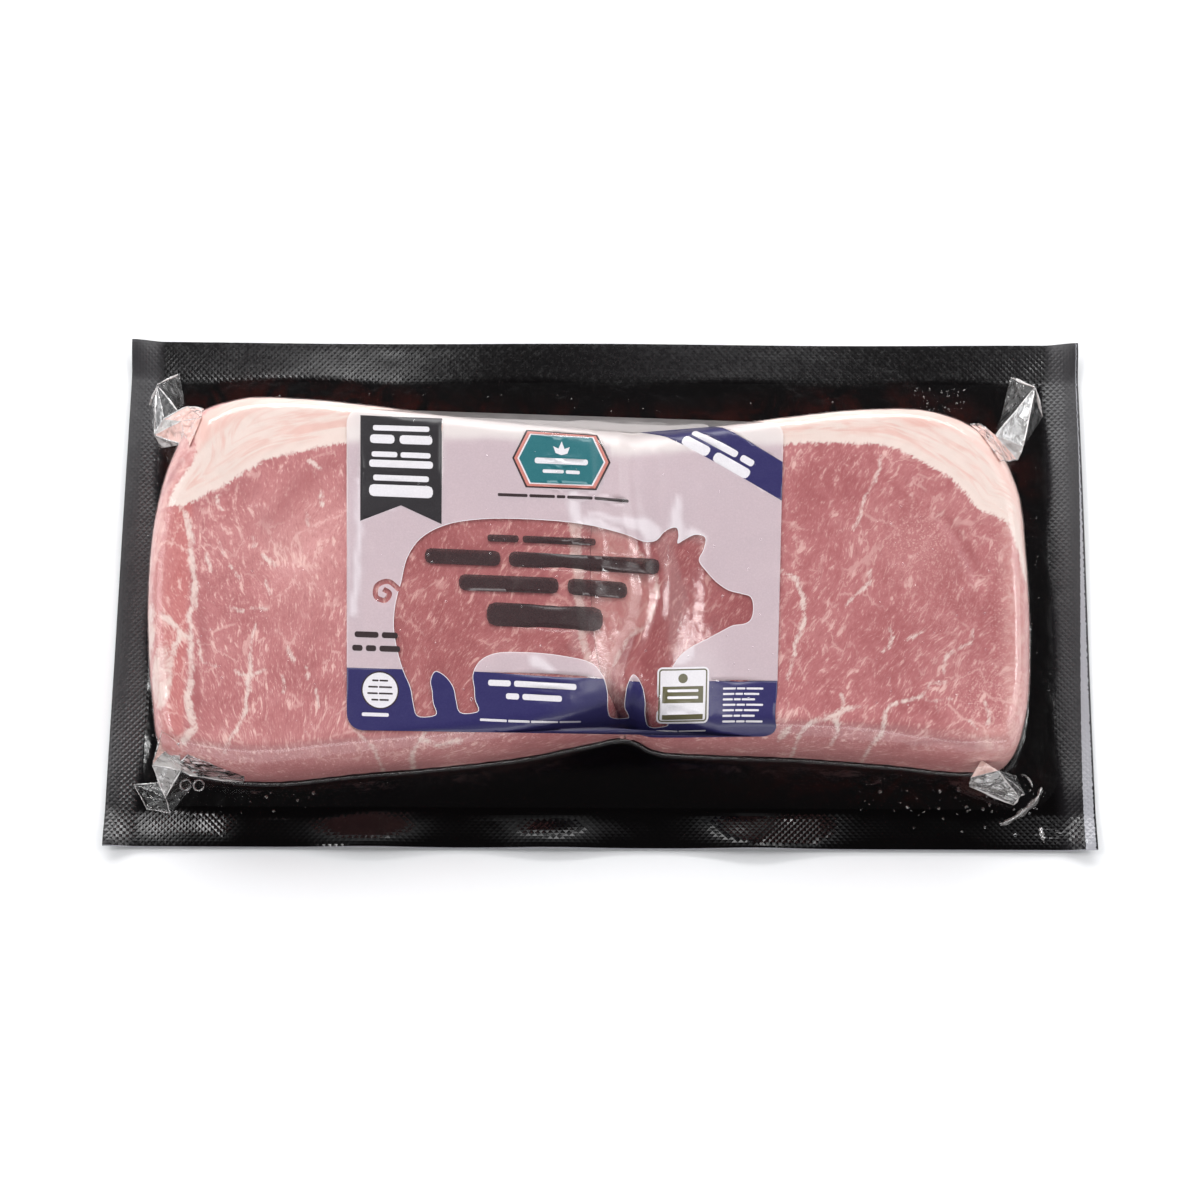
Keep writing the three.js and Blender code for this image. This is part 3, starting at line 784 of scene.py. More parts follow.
class PACK_OT_backing_film(bpy.types.Operator):
    """Black backing film with its knurled seal band and curling rim"""

    bl_idname = "meat_pack.backing_film"
    bl_label = "Backing film"

    def execute(self, context):
        sizes, colours = context.scene.meat_pack_sizes, context.scene.meat_pack_colours
        step = sizes.knurl_pitch / MM / math.sqrt(2)
        columns = 2 * int(round(PACK_LENGTH / step / 2)) + 1
        rows = 2 * int(round(PACK_WIDTH / step / 2)) + 1
        xs = np.linspace(-PACK_LENGTH / 2, PACK_LENGTH / 2, columns)
        ys = np.linspace(-PACK_WIDTH / 2, PACK_WIDTH / 2, rows)
        x, y = np.meshgrid(xs, ys)
        in_long = PACK_WIDTH / 2 - np.abs(y)
        in_short = PACK_LENGTH / 2 - np.abs(x)
        long_seal, short_seal = sizes.long_seal / MM, sizes.short_seal / MM
        wander = 0.8 * np.sin(x / 9 + 1) + 0.9 * np.sin(y / 7)
        long_band = smooth(long_seal + wander - in_long, 0, 2.2)
        short_band = smooth(short_seal + wander - in_short, 0, 2.2)
        band = np.maximum(long_band, short_band)
        low_corner = (np.arange(rows)[:, None] + np.arange(columns)[None, :]) % 2
        margin = smooth(np.minimum(in_long, in_short), 0.4, 1.0)
        knurl = self.knurl_height(x, y, in_long, in_short, sizes) * band * margin * (1 - low_corner)
        billow = 0.10 * np.sin(x / 6.1 + y / 9) * np.cos(y / 5.3 - x / 15) * (1 - band)
        top = WEB_TOP - WEB_SLACK + knurl + rim_lift(x, y, sizes) + billow

        faces = self.pyramid_faces(columns, rows, low_corner)
        smooth_faces = (band.ravel()[faces].max(axis=1) < 0.02).tolist()
        under_points, under_faces = self.underside(x, y, sizes)
        smooth_faces += [True] * len(under_faces)
        points = np.vstack([np.stack([x, y, top], axis=-1).reshape(-1, 3), under_points])
        toward_back_left = smooth(-points[:, 0], 100, PACK_LENGTH / 2)
        toward_back_left = toward_back_left * smooth(points[:, 1], -PACK_WIDTH / 2, PACK_WIDTH / 2)
        points[:, 0] += 1.5 * toward_back_left
        faces = faces.tolist() + under_faces
        piece = mesh_object("black_web", points, faces, [web_material(colours)], smooth_faces=smooth_faces)

        keep_values(piece, "juice", self.juice(x, y))
        keep_values(piece, "seal", band)
        keep_values(piece, "matte_and_painted_sheen", self.matte_and_sheen_strips(x, y, in_short, long_seal))
        on_pack(piece, "black_film", "backing_web")
        return {"FINISHED"}

    def knurl_height(self, x, y, in_long, in_short, sizes):
        """How high the band's pyramids stand: pressed flat in patches, full near the two front corners."""
        patchy = 0.55 + 0.45 * np.sin(x / 21 + 1.3 * np.sin(y / 17) + 2.1) * np.cos(y / 26 - x / 61)
        patchy = patchy * (1 - 0.75 * smooth(4.5 - in_short, 0, 1.5))
        patchy = patchy * (1 - 0.3 * smooth(3.0 - in_long, 0, 1.5))
        patchy = patchy * (1 - 0.72 * smooth(-y, 54, 60) * (1 - bump(x, 48, 11)))
        corner = 0.9 * smooth(np.hypot(x + 122, y + 62), 36, 24)
        corner = corner + 0.8 * smooth(np.hypot(x - 118, y + 60), 30, 8)
        corner = corner + 0.8 * bump(x, 48, 11) * smooth(-y, 52, 58)
        return sizes.knurl_height / MM * np.clip(patchy + corner, 0.15, 1.5)

    def pyramid_faces(self, columns, rows, low_corner):
        """Two triangles for each cell, split so that pyramids stand on the cells' high corners."""
        a = grid_cells(columns, rows)
        first = low_corner[:-1, :-1].ravel()
        even, odd = a[first == 0], a[first == 1]
        return np.concatenate([
            np.stack([even, even + 1, even + columns], axis=1),
            np.stack([even + 1, even + columns + 1, even + columns], axis=1),
            np.stack([odd, odd + 1, odd + columns + 1], axis=1),
            np.stack([odd, odd + columns + 1, odd + columns], axis=1),
        ])

    def underside(self, x, y, sizes):
        """Points and faces under the film: rings that follow the curl in to one flat face."""
        rows, columns = x.shape
        upper = border = grid_border(columns, rows)
        bx, by = x.ravel()[border], y.ravel()[border]
        points, faces = [], []
        for share in (0.0, 0.35, 0.7, 1.0):
            inset = share * (sizes.long_seal / MM)
            rx = np.sign(bx) * np.minimum(np.abs(bx), PACK_LENGTH / 2 - inset)
            ry = np.sign(by) * np.minimum(np.abs(by), PACK_WIDTH / 2 - inset)
            lower = x.size + len(points) * len(border) + np.arange(len(border))
            points.append(np.stack([rx, ry, rim_lift(rx, ry, sizes)], axis=-1))
            faces += strip_faces(lower, upper)
            upper = lower
        return np.vstack(points), faces + [lower[::-1].tolist()]

    def juice(self, x, y):
        """How much juice lies under the film at each point: behind the chops and at their right front."""
        near = distance_to(x, y, RING[::2], closed=True)
        behind = smooth(y, 10, 44) * smooth(-near, 14, 1)
        front_right = bump(x, 70, 40) * smooth(-y, 40, 48) * smooth(-near, 16, 1) * 0.55
        return np.maximum(behind, front_right) * smooth(y, -57, -52)

    def matte_and_sheen_strips(self, x, y, in_short, long_seal):
        """How much painted sheen and roughness the black gets at each point: the ends, but for their front
        corners, and the back edge.
        """
        corners = (1 - 0.85 * spot(x, y, (-118, -60), (9, 14))) * (1 - 0.5 * spot(x, y, (118, -60), (12, 22)))
        back = smooth(PACK_WIDTH / 2 - y, long_seal, long_seal - 3) * (0.6 + 0.4 * np.sin(x / 17))
        return np.maximum(0.95 * smooth(in_short, 10.5, 5.5) * corners, 0.30 * back)


# Meat

# Where lean meets the fat cap, left chop and right chop.
LEAN_EDGE_LEFT = [
    (-116, 16), (-109, 15.5), (-103.5, 15.5), (-97.9, 18.4), (-91.8, 22), (-83.5, 27.2), (-75.3, 29.2),
    (-63.7, 31.6), (-45, 32.5), (-25, 32.8), (-8, 32), (8, 31),
]
LEAN_EDGE_RIGHT = [
    (-4, 29), (10, 29.5), (30, 31), (46.4, 31.6), (59.7, 31.9), (72.6, 30.8), (81.7, 26.1), (89.3, 20.7),
    (93.1, 15.3), (97.5, 13.5), (100.9, 11), (103.1, 5), (105, -2), (112, -8),
]
# Streaks of fat: their lines, with half widths at the start and the end. They are drawn at VEIN_WIDTH
# of that, and their ragged edge takes up the rest.
VEIN_WIDTH = 0.62
VEINS_LEFT = [
    ([(-104.5, 16), (-103, 12), (-101.9, 7.2), (-101.2, 2.5)], 1.2, 1.0),
    ([(-101.2, 2.5), (-100.4, -5.7), (-99.9, -9.8)], 1.0, 1.4),
    ([(-99.9, -9.8), (-101.5, -13.3), (-100.7, -17.4), (-100.2, -23.2)], 0.9, 0.8),
    ([(-100.2, -23.2), (-100.5, -28.9), (-100.4, -34.7), (-99.4, -40.4), (-101, -43.5)], 0.9, 1.8),
    ([(-108.5, -12.5), (-105.4, -14.6), (-103, -16.9), (-101, -18.5)], 1.0, 0.9),
    ([(-103, -17), (-104.8, -22), (-106.4, -26)], 0.9, 1.3),
    ([(-85.2, -15), (-85.8, -22), (-86, -27.8), (-85.9, -31.8)], 0.1, 0.85),
    ([(-85.9, -31.8), (-87.1, -37.5), (-88.9, -42.1), (-91.6, -46.5)], 0.6, 0.5),
    ([(-89.8, -26.4), (-86, -27.8)], 0.15, 0.5), ([(-86, -27.8), (-82, -26.4)], 0.5, 0.2),
    ([(-99, -19), (-97.4, -23.7), (-94.5, -26)], 0.25, 0.45),
    ([(-86.4, 7.8), (-85.7, 4.9)], 0.3, 0.9), ([(-83.5, 2.6), (-80.6, 0.2)], 0.3, 0.9),
    ([(-91.8, 0), (-89.4, -3)], 0.4, 0.7), ([(-94.6, 6), (-93.2, 3)], 0.2, 0.6),
    ([(-97.9, 3.2), (-96.2, -1.4)], 0.3, 0.6), ([(-82.8, -4.4), (-81.6, -7.2)], 0.6, 0.4),
    ([(-91, -10.6), (-88.4, -11.6)], 0.4, 0.5), ([(-86, -11), (-82.2, -11.4)], 0.3, 0.6),
    ([(-77.9, -28), (-77.2, -31.5)], 0.2, 0.5), ([(-72.4, -25.6), (-71.4, -28.6)], 0.3, 0.5),
    ([(-69.3, -31.5), (-68.8, -35.5)], 0.2, 0.4), ([(-76.8, -20), (-75.2, -24)], 0.2, 0.5),
    ([(-72.6, 26.6), (-70, 24.6)], 1.0, 0.6), ([(-70, 19), (-69, 15.6)], 0.3, 0.7),
    ([(-73.2, 13.4), (-72.9, 10.2)], 0.2, 0.6), ([(-95.8, 17.4), (-94.4, 14.4)], 0.7, 0.5),
    ([(-60, -41), (-56, -45), (-54, -49)], 0.3, 0.5),
    ([(-40, -40), (-44, -43.5), (-47, -47)], 0.3, 0.6), ([(-44, -43.5), (-39, -44.5), (-34, -43)], 0.3, 0.4),
    ([(-6.8, 36), (-7.2, 22), (-6.4, 8), (-5.4, -4), (-4.8, -14), (-3, -24)], 3.0, 1.4),
]
VEINS_RIGHT = [
    ([(69.7, 29.2), (69.3, 25.2)], 0.15, 0.3),
    ([(69.3, 25.2), (66.3, 19.8), (64.2, 13.7), (62.2, 9.7)], 0.4, 0.35),
    ([(44.2, -0.6), (47.8, -2.9), (49.9, -8.2)], 0.4, 0.75),
    ([(49.9, -8.2), (49.5, -14.1), (47.5, -20.7), (45.4, -28.5)], 0.75, 0.4),
    ([(66.4, -0.9), (65.4, -4.9), (62.4, -7.5), (60.5, -9.5)], 0.6, 0.3),
    ([(68.7, -38.8), (69.4, -36.3), (72, -34.3)], 0.8, 0.6),
    ([(72, -34.3), (78.4, -32.4), (81, -29.1), (84.2, -28.5)], 0.6, 0.45),
    ([(78.4, -32.4), (81.5, -33.3), (85.3, -33)], 0.4, 0.35), ([(81.5, -33.3), (82, -36.3)], 0.4, 0.2),
    ([(68.9, -38.3), (67.9, -42.2), (65.6, -45)], 0.7, 0.3),
    ([(47.2, -45), (49.8, -40.3), (55, -37.7)], 0.4, 1.1),
    ([(55, -37.7), (58.8, -36.4), (62.7, -35.1)], 1.4, 0.4),
    ([(58.7, -36.6), (59.4, -34), (58.5, -32.1)], 0.7, 0.3),
    ([(56.3, -37.5), (57.5, -40), (56.5, -43)], 1.0, 0.3),
    ([(44.2, -41.4), (46.1, -40.4)], 1.0, 0.8),
    ([(70.5, -15.4), (71.1, -18.7), (69.1, -21.3)], 0.4, 0.35),
    ([(79.5, -15.4), (76.9, -17.4), (74.9, -18.7)], 0.35, 0.3),
    ([(91, -15.4), (90.9, -18.7), (88.3, -20), (84.4, -22.6), (83.6, -26.5)], 0.3, 0.3),
    ([(89.8, -38.5), (91.6, -41.1)], 0.6, 0.4), ([(94.2, -39.2), (94.4, -34.7), (93.8, -33)], 0.6, 0.3),
    ([(8.6, 6), (12.8, -0.5), (14.1, -6.2)], 0.5, 0.7),
    ([(14.1, -6.2), (11.3, -12.6), (6.5, -17.5), (3.4, -24)], 0.7, 0.5),
]
# Painted shade along folds, drawn as darker lines: beside the left chop's seam, under its fat cap and in the
# right chop.
FOLD_SHADE_LEFT = [
    ([(-98.8, -9), (-97.6, -17.4), (-96.5, -23.2)], 1.3, 0.7),
    ([(-99.2, -25), (-98.8, -31), (-98.2, -37.5)], 1.2, 0.9),
    ([(-66, 28.5), (-75.5, 20.2), (-80.4, 13.1), (-86, 9.5)], 3.2, 0.6),
    ([(-100, 16.2), (-94, 18.8), (-87, 22.5)], 1.6, 0.6), ([(-110, 20), (-107, 25), (-104, 29)], 1.0, 0.7),
]
FOLD_SHADE_RIGHT = [
    ([(84.5, 13), (88.5, 7.7), (91.5, 1.7), (93.3, -2.2)], 2.6, 0.60),
    ([(72, -44), (84, -43.2), (93, -44.5)], 0.7, 0.8),
]
STAIN_RIGHT = [([(76, 37.2), (82, 37.8), (88, 39.0), (91.5, 40)], 1.1, 1.0)]
FACE_DIAGONAL = [(-108.5, 12), (-107.3, 18.1), (-103, 25), (-96.7, 32.9), (-87, 39), (-75.7, 43.4), (-60, 47)]
FAT_FOLD_RIGHT = [
    (56, 46), (69.5, 39.3), (78.5, 36.6), (88, 35), (94, 31), (98.5, 25.5), (102.2, 18), (104, 10),
    (105.5, 0),
]
RIGHT_CHOP_EDGE = [
    (6, 42), (7.5, 32), (8.2, 20), (8.4, 8), (12.8, -0.5), (14.1, -6.2), (11.3, -12.6), (6.5, -17.5),
    (3, -24), (4, -42),
]


def oval(x, y, centre, half_x, half_y):
    """Millimetres inside an oval, about; negative outside."""
    away = np.hypot((x - centre[0]) / half_x, (y - centre[1]) / half_y)
    return (1 - away) * min(half_x, half_y)


def darkness(x, y, folds):
    """How dark lines along the curves make each point, from 0 to 1: the painted shade along folds, and stain
    lines.
    """
    best = np.zeros(x.shape)
    for line, half_width, depth in folds:
        curve = centripetal(line, 6)
        ends = np.minimum(*(np.hypot(x - end_x, y - end_y) for end_x, end_y in (line[0], line[-1])))
        taper = 0.4 + 0.6 * smooth(ends, 0, 3)
        best = np.maximum(best, depth * bump(distance_to(x, y, curve), 0, half_width) * taper)
    return best


def chop_values(side, x, y):
    """Numbers that the chop's material reads, for each point of the chop."""
    if side == "left":
        beyond = left_of(x, y, FACE_DIAGONAL)
        cap = left_of(x, y, LEAN_EDGE_LEFT)
        cap = np.minimum(cap, 0.4 - 1.2 * beyond + 9 * smooth(y, 26, 40))
        vein = inside_bands(x, y, VEINS_LEFT, VEIN_WIDTH)
        vein = np.maximum(vein, oval(x, y, (-111.8, -16), 1.8, 6.5))
        vein = np.maximum(vein, oval(x, y, (-107.6, -28.0), 3.0, 8.0) - 0.1)
        skin = smooth(beyond, -0.5, 1.2) * 0.9 + 0.6 * smooth(-x, 111.3, 112.8)
        muscle = smooth(-x, 101.0, 102.4) * (1 - smooth(beyond, -0.5, 1.5)) * 0.75
        # Painted shade along the left chop's folds.
        dark = darkness(x, y, FOLD_SHADE_LEFT)
        haze = 0.75 * spot(x, y, (-71, 6), (11, 17)) + 0.35 * spot(x, y, (-86, 8), (9, 9))
        haze = haze + bump(y, -46, 5) * 0.3 + 0.10 + 0.35 * smooth(-x, 104, 110)
        specks = 0.25 * spot(x, y, (-88, -6), (12, 14))
        stain = 0.62 * smooth(beyond, -0.5, 2.0) * (1 - smooth(x, -88, -74)) + 0.3 * smooth(beyond, 0, 1)
    else:
        cap = left_of(x, y, LEAN_EDGE_RIGHT)
        vein = inside_bands(x, y, VEINS_RIGHT, VEIN_WIDTH)
        edge = left_of(x, y, RIGHT_CHOP_EDGE)
        skin = np.maximum(0.92 * smooth(x, 96.5, 102), smooth(-edge, -0.4, 0.8))
        skin = np.maximum(skin, 0.7 * smooth(x, 88, 94) * smooth(-y, 38, 42))
        muscle = 0.25 * bump(y, -44, 3) * smooth(x, 60, 75)
        # Painted shade along the right chop's folds, and a darker lean across its middle.
        dark = np.maximum(darkness(x, y, FOLD_SHADE_RIGHT), 0.36 * smooth(y, -36, -22) * smooth(y, 36, 20))
        specks = 0.9 * spot(x, y, (79, 8), (8, 8)) + 0.75 * spot(x, y, (92, -31), (5, 7))
        specks = specks + 0.55 * smooth(x, 94, 98) + 0.35 * spot(x, y, (85, -8), (12, 12))
        haze = bump(y, -44, 4) * 0.4 + 0.4 * spot(x, y, (78, 4), (9, 9))
        # Pinker fat past the fold at the back right corner: partly stain, partly painted shade of the fold.
        stain = 0.75 * smooth(left_of(x, y, FAT_FOLD_RIGHT), -0.5, 1.0)
        stain = stain + darkness(x, y, STAIN_RIGHT)
    shares = (np.clip(share, 0, 1) for share in (skin, muscle, dark, haze, specks, stain))
    return dict(zip(CHOP_VALUES, (cap, vein, *shares)))


class PACK_OT_chops(bpy.types.Operator):
    """Two raw pork chops, pressed together under the film"""

    bl_idname = "meat_pack.chops"
    bl_label = "Chops"

    def execute(self, context):
        sizes, colours = context.scene.meat_pack_sizes, context.scene.meat_pack_colours
        self.chop("chop_left", "left", sizes, meat_material("pork_left", colours, (-72.0, -88.0), 88.0))
        self.chop("chop_right", "right", sizes, meat_material("pork_right", colours, (-84.0, -259.0), 300.0))
        return {"FINISHED"}

    def chop(self, name, side, sizes, material):
        front, right, back, left = outline_sides()
        meeting = centripetal(MEETING_LINE, 8)
        if side == "left":
            short = 0.3
            front = np.vstack([front[front[:, 0] < meeting[0, 0] - short], meeting[:1]])
            back = np.vstack([back[back[:, 0] < meeting[-1, 0] - short], meeting[-1:]])
            right = meeting
        else:
            meeting = meeting + (CHOPS_APART, 0.0)
            front = np.vstack([meeting[:1], front[front[:, 0] > meeting[0, 0] + CHOPS_APART]])
            back = np.vstack([meeting[-1:], back[back[:, 0] > meeting[-1, 0] + CHOPS_APART]])
            left = meeting
        step = sizes.meat_step / MM
        u = shoulder_stations(np.ptp(front[:, 0]), step, 22)
        v = shoulder_stations(np.ptp(right[:, 1]), step, 22)
        x, y = stretched(front, right, back, left, u, v)
        rows, columns = x.shape

        def height(px, py):
            away = np.abs(distance_to(px, py, meeting))
            deeper_in_front = 0.12 + 0.88 * smooth(-py, 18, 36)
            dip = MEETING_DEPTH * (1 - smooth(away / MEETING_SHOULDER) ** 0.6) * deeper_in_front
            return np.maximum(film_height(px, py) - dip, BRIM_THICKNESS)

        surface = np.stack([x, y, WEB_TOP + height(x, y)], axis=-1)
        grain = 0.10 * np.sin(x * 1.1 + 2.3 * np.sin(y * 0.31)) * np.sin(y * 0.83 + 1.7 * np.sin(x * 0.27))
        points = surface - grid_normals(surface) * (sizes.meat_gap / MM + 0.06 + grain * 0.6)[..., None]
        border = grid_border(columns, rows)
        edge = points.reshape(-1, 3)[border]
        foot = edge.copy()
        foot[:, 2] = WEB_TOP + 0.05
        points.reshape(-1, 3)[border, 2] = np.maximum(edge[:, 2], WEB_TOP + 0.4)
        all_points = np.vstack([points.reshape(-1, 3), foot])
        foot_loop = rows * columns + np.arange(len(border))
        faces = grid_faces(columns, rows) + strip_faces(foot_loop, border) + [foot_loop[::-1].tolist()]
        piece = mesh_object(name, all_points, faces, [material])
        for key, values in chop_values(side, x, y).items():
            keep_values(piece, key, np.concatenate([values.ravel(), values.ravel()[border]]))
        on_pack(piece, "raw_pork")


# Clear film

class PACK_OT_pocket_film(bpy.types.Operator):
    """Clear film drawn down over the meat and out over the black film"""

    bl_idname = "meat_pack.pocket_film"
    bl_label = "Clear film"

    def execute(self, context):
        sizes = context.scene.meat_pack_sizes
        step = sizes.film_step / MM
        u = shoulder_stations(2 * MEAT_HALF_LENGTH, step, 18)
        v = shoulder_stations(2 * MEAT_HALF_WIDTH, step, 18)
        x, y = stretched(*outline_sides(), u, v)
        rows, columns = x.shape
        points = [np.stack([x, y, film_top(x, y)], axis=-1).reshape(-1, 3)]
        inner = border = grid_border(columns, rows)
        start = points[0][border]
        rim = self.brim(x.ravel()[border], y.ravel()[border], sizes)
        faces = grid_faces(columns, rows)
        for share in (0.03, 0.07, 0.12, 0.18, 0.26, 0.36, 0.48, 0.6, 0.72, 0.84, 0.93, 1.0):
            ring = start[:, :2] * (1 - share) + rim * share
            away = np.linalg.norm(ring - start[:, :2], axis=1)
            rx, ry = ring.T
            swell = 0.12 * np.sin(rx / 5 + ry / 3) + 0.1 * np.sin(rx / 2.3 - ry / 7)
            low = WEB_TOP + 0.14 + 0.5 * (swell + 0.2) * math.sin(math.pi * share)
            outer = x.size + (len(points) - 1) * len(border) + np.arange(len(border))
            points.append(np.column_stack([ring, low + (start[:, 2] - low) * np.exp(-away / 0.55)]))
            faces += strip_faces(outer, inner)
            inner = outer
        piece = mesh_object("clear_film", np.vstack(points), faces, [clear_film_material()])
        on_pack(piece, "clear_film", "sealed_pocket")
        return {"FINISHED"}

    def brim(self, x, y, sizes):
        """Points on the rounded rectangle where the seal starts, straight out from the outline's points."""
        half = np.array([PACK_LENGTH / 2 - sizes.short_seal / MM, PACK_WIDTH / 2 - sizes.long_seal / MM])
        reach = np.array([MEAT_HALF_LENGTH, MEAT_HALF_WIDTH])
        scaled = np.column_stack([x, y]) / reach
        on_edge = scaled / np.abs(scaled).max(axis=1, keepdims=True) * half
        centre = np.clip(on_edge, -(half - BRIM_CORNER), half - BRIM_CORNER)
        away = on_edge - centre
        return centre + away / np.linalg.norm(away, axis=1, keepdims=True) * BRIM_CORNER


# Folded corners of the film

def on_film(x, y, lift=0.45):
    """A point of a fold that lies on the film, a little above it."""
    return x, y, float(film_height(np.array([[x]], float), np.array([[y]], float))[0, 0]) + lift


# Each fold: its points over the web, its facets with their bow, haze and silver, and its bright creases.
CORNER_FOLDS = {
    "fold_back_left": (
        {
            "a": (-115.1, 53.2, 5.6), "b": (-110.2, 58.1, 0.4), "c": (-117.9, 49.0, 0.4),
            "d": (-114.7, 38.7, 8.6), "e": (-111.8, 41.7, 12.6), "f": (-108.1, 43.4, 14.6),
            "g": (-105.4, 43.9, 16.2), "h": (-106.4, 39.4, 18.0), "i": (-106.0, 33.6, 17.0),
            "j": (-108.6, 49.5, 0.4), "k": (-113.2, 36.0, 6.0), "l": on_film(-101.0, 43.0),
            "m": on_film(-100.5, 38.5), "n": on_film(-103.0, 31.0),
        },
        [
            ("ade", 1.2, 0.05, 0.25), ("aef", -0.6, 0.02, 0.05), ("deh", 0.5, 0.69, 0.1),
            ("efg", 0.3, 0.45, 0.5), ("egh", -0.4, 0.92, 0.2), ("dhi", 0.6, 0.95, 0.1),
            ("abj", 0.3, 0.03, 0.06), ("ajf", -0.4, 0.01, 0.0), ("acd", 0.5, 0.06, 0.1),
            ("dik", 0.3, 0.60, 0.1), ("glm", 0.2, 0.92, 0.2), ("gmh", 0.3, 0.96, 0.1),
            ("hmn", 0.3, 0.96, 0.1), ("hni", 0.2, 0.96, 0.1),
        ],
        [
            ("ad", 0.30), ("ae", 0.20), ("af", 0.30), ("ab", 0.34), ("ac", 0.28), ("de", 0.3), ("di", 0.26),
            ("eg", 0.32), ("dh", 0.14), ("gl", 0.24), ("hm", 0.16),
        ],
    ),
    "fold_back_right": (
        {
            "a": (112.0, 53.6, 5.6), "b": (106.6, 58.0, 0.4), "c": (114.6, 47.2, 0.4),
            "d": (107.8, 36.6, 8.6), "e": (106.5, 33.3, 7.6), "f": (102.8, 30.8, 15.0),
            "g": (99.9, 37.6, 15.0), "h": (97.0, 38.6, 18.2), "i": (96.0, 41.2, 13.6),
            "j": (104.0, 48.0, 0.4), "k": on_film(93.0, 39.0), "l": on_film(95.5, 34.5),
            "m": on_film(99.5, 28.0),
        },
        [
            ("adg", 2.4, 0.34, 0.60), ("gde", 0.8, 0.60, 0.3), ("gef", 0.4, 0.95, 0.1),
            ("hgf", 0.4, 0.95, 0.1), ("ihg", 0.3, 0.62, 0.4), ("agj", -0.5, 0.01, 0.01),
            ("abj", 0.3, 0.05, 0.08), ("acd", 0.6, 0.01, 0.01), ("ihk", 0.3, 0.92, 0.2),
            ("hkl", 0.2, 0.96, 0.1), ("hlf", 0.3, 0.96, 0.1), ("flm", 0.3, 0.96, 0.1),
        ],
        [
            ("ad", 0.30), ("ag", 0.30), ("ab", 0.48), ("ac", 0.40), ("de", 0.32), ("dg", 0.14),
            ("ef", 0.28), ("hf", 0.16), ("hi", 0.26), ("ik", 0.2), ("fm", 0.2),
        ],
    ),
    "fold_front_left": (
        {
            "a": (-111.6, -47.0, 7.6), "b": (-108.2, -45.0, 13.0), "c": (-104.0, -48.6, 9.8),
            "d": (-108.8, -54.3, 2.4), "e": (-117.2, -50.6, 0.5), "f": (-110.1, -50.6, 3.0),
            "g": (-107.7, -57.8, 0.5), "h": (-113.6, -56.9, 0.5), "i": (-102.0, -50.6, 0.4),
            "j": on_film(-106.8, -41.5), "k": on_film(-102.5, -44.5),
        },
        [
            ("abc", 0.4, 0.66, 0.1), ("acd", 0.7, 0.36, 0.2), ("efd", 1.2, 0.03, 0.18),
            ("ehd", -1.4, 0.02, 0.08), ("dhg", 0.8, 0.04, 0.14), ("cdi", 0.4, 0.02, 0.03),
            ("dig", -0.6, 0.01, 0.02), ("abj", 0.3, 0.94, 0.1), ("bjk", 0.3, 0.94, 0.1),
            ("bkc", 0.3, 0.66, 0.3),
        ],
        [
            ("ab", 0.26), ("ac", 0.28), ("ad", 0.26), ("cd", 0.24), ("ef", 0.20), ("fd", 0.18),
            ("eh", 0.14), ("hg", 0.14), ("dg", 0.18), ("aj", 0.2), ("bk", 0.22),
        ],
    ),
    "fold_front_right": (
        {
            "a": (91.8, -49.7, 10.6), "b": (98.2, -48.4, 12.6), "c": (104.7, -53.3, 3.0),
            "d": (103.4, -55.2, 2.4), "e": (92.0, -51.1, 5.6), "f": (94.0, -46.0, 14.0),
            "g": (106.6, -52.0, 0.5), "h": (104.5, -47.5, 0.5),
        },
        [
            ("abe", 0.8, 0.42, 0.35), ("ecb", 1.6, 0.30, 0.45), ("edc", 0.4, 0.15, 0.3),
            ("afb", 0.2, 0.92, 0.2), ("bcg", 0.5, 0.03, 0.1), ("bgh", 0.4, 0.01, 0.03),
        ],
        [
            ("ae", 0.24), ("ed", 0.26), ("dc", 0.24), ("bc", 0.24), ("ab", 0.18), ("bg", 0.18),
            ("cg", 0.22), ("bh", 0.12),
        ],
    ),
    "fold_along_left": (
        {
            "a": (-103.6, -47.6, 14.6), "b": (-101.0, -46.6, 19.6), "c": (-95.0, -48.6, 17.0),
            "d": (-88.4, -50.0, 9.0), "e": (-89.2, -50.6, 4.4), "f": (-100.0, -49.7, 6.6),
            "g": (-104.0, -48.8, 8.8),
        },
        [
            ("abc", 0.3, 0.10, 0.55), ("acf", 0.4, 0.14, 0.45), ("agf", 0.3, 0.50, 0.1),
            ("cdf", 0.5, 0.12, 0.30), ("def", 0.4, 0.16, 0.2),
        ],
        [("gf", 0.34), ("fe", 0.24), ("ab", 0.30), ("bc", 0.16), ("de", 0.16)],
    ),
}


def hoop(centre, radius):
    """A closed ring of points round a bubble."""
    ring = circle_outline(centre, radius, 12)
    return ring + ring[:1]


# Ridges that the film makes where it comes down on the web: their lines, heights and half widths.
FILM_RIDGES = [
    ([(110.8, -50.4), (109.6, -53.2), (107.0, -55.8), (103.6, -58.2), (100.2, -60.0)], 1.3, 0.75),
    (hoop((-104.2, -50.6), 1.3), 0.35, 0.28),
    (hoop((-100.9, -50.7), 1.3), 0.35, 0.28),
    ([(110.2, -60.6), (110.6, -62.8), (111.0, -64.8)], 0.6, 0.8),
    ([(106.6, -47.0), (108.0, -48.6), (108.6, -50.4)], 0.5, 0.3),
]


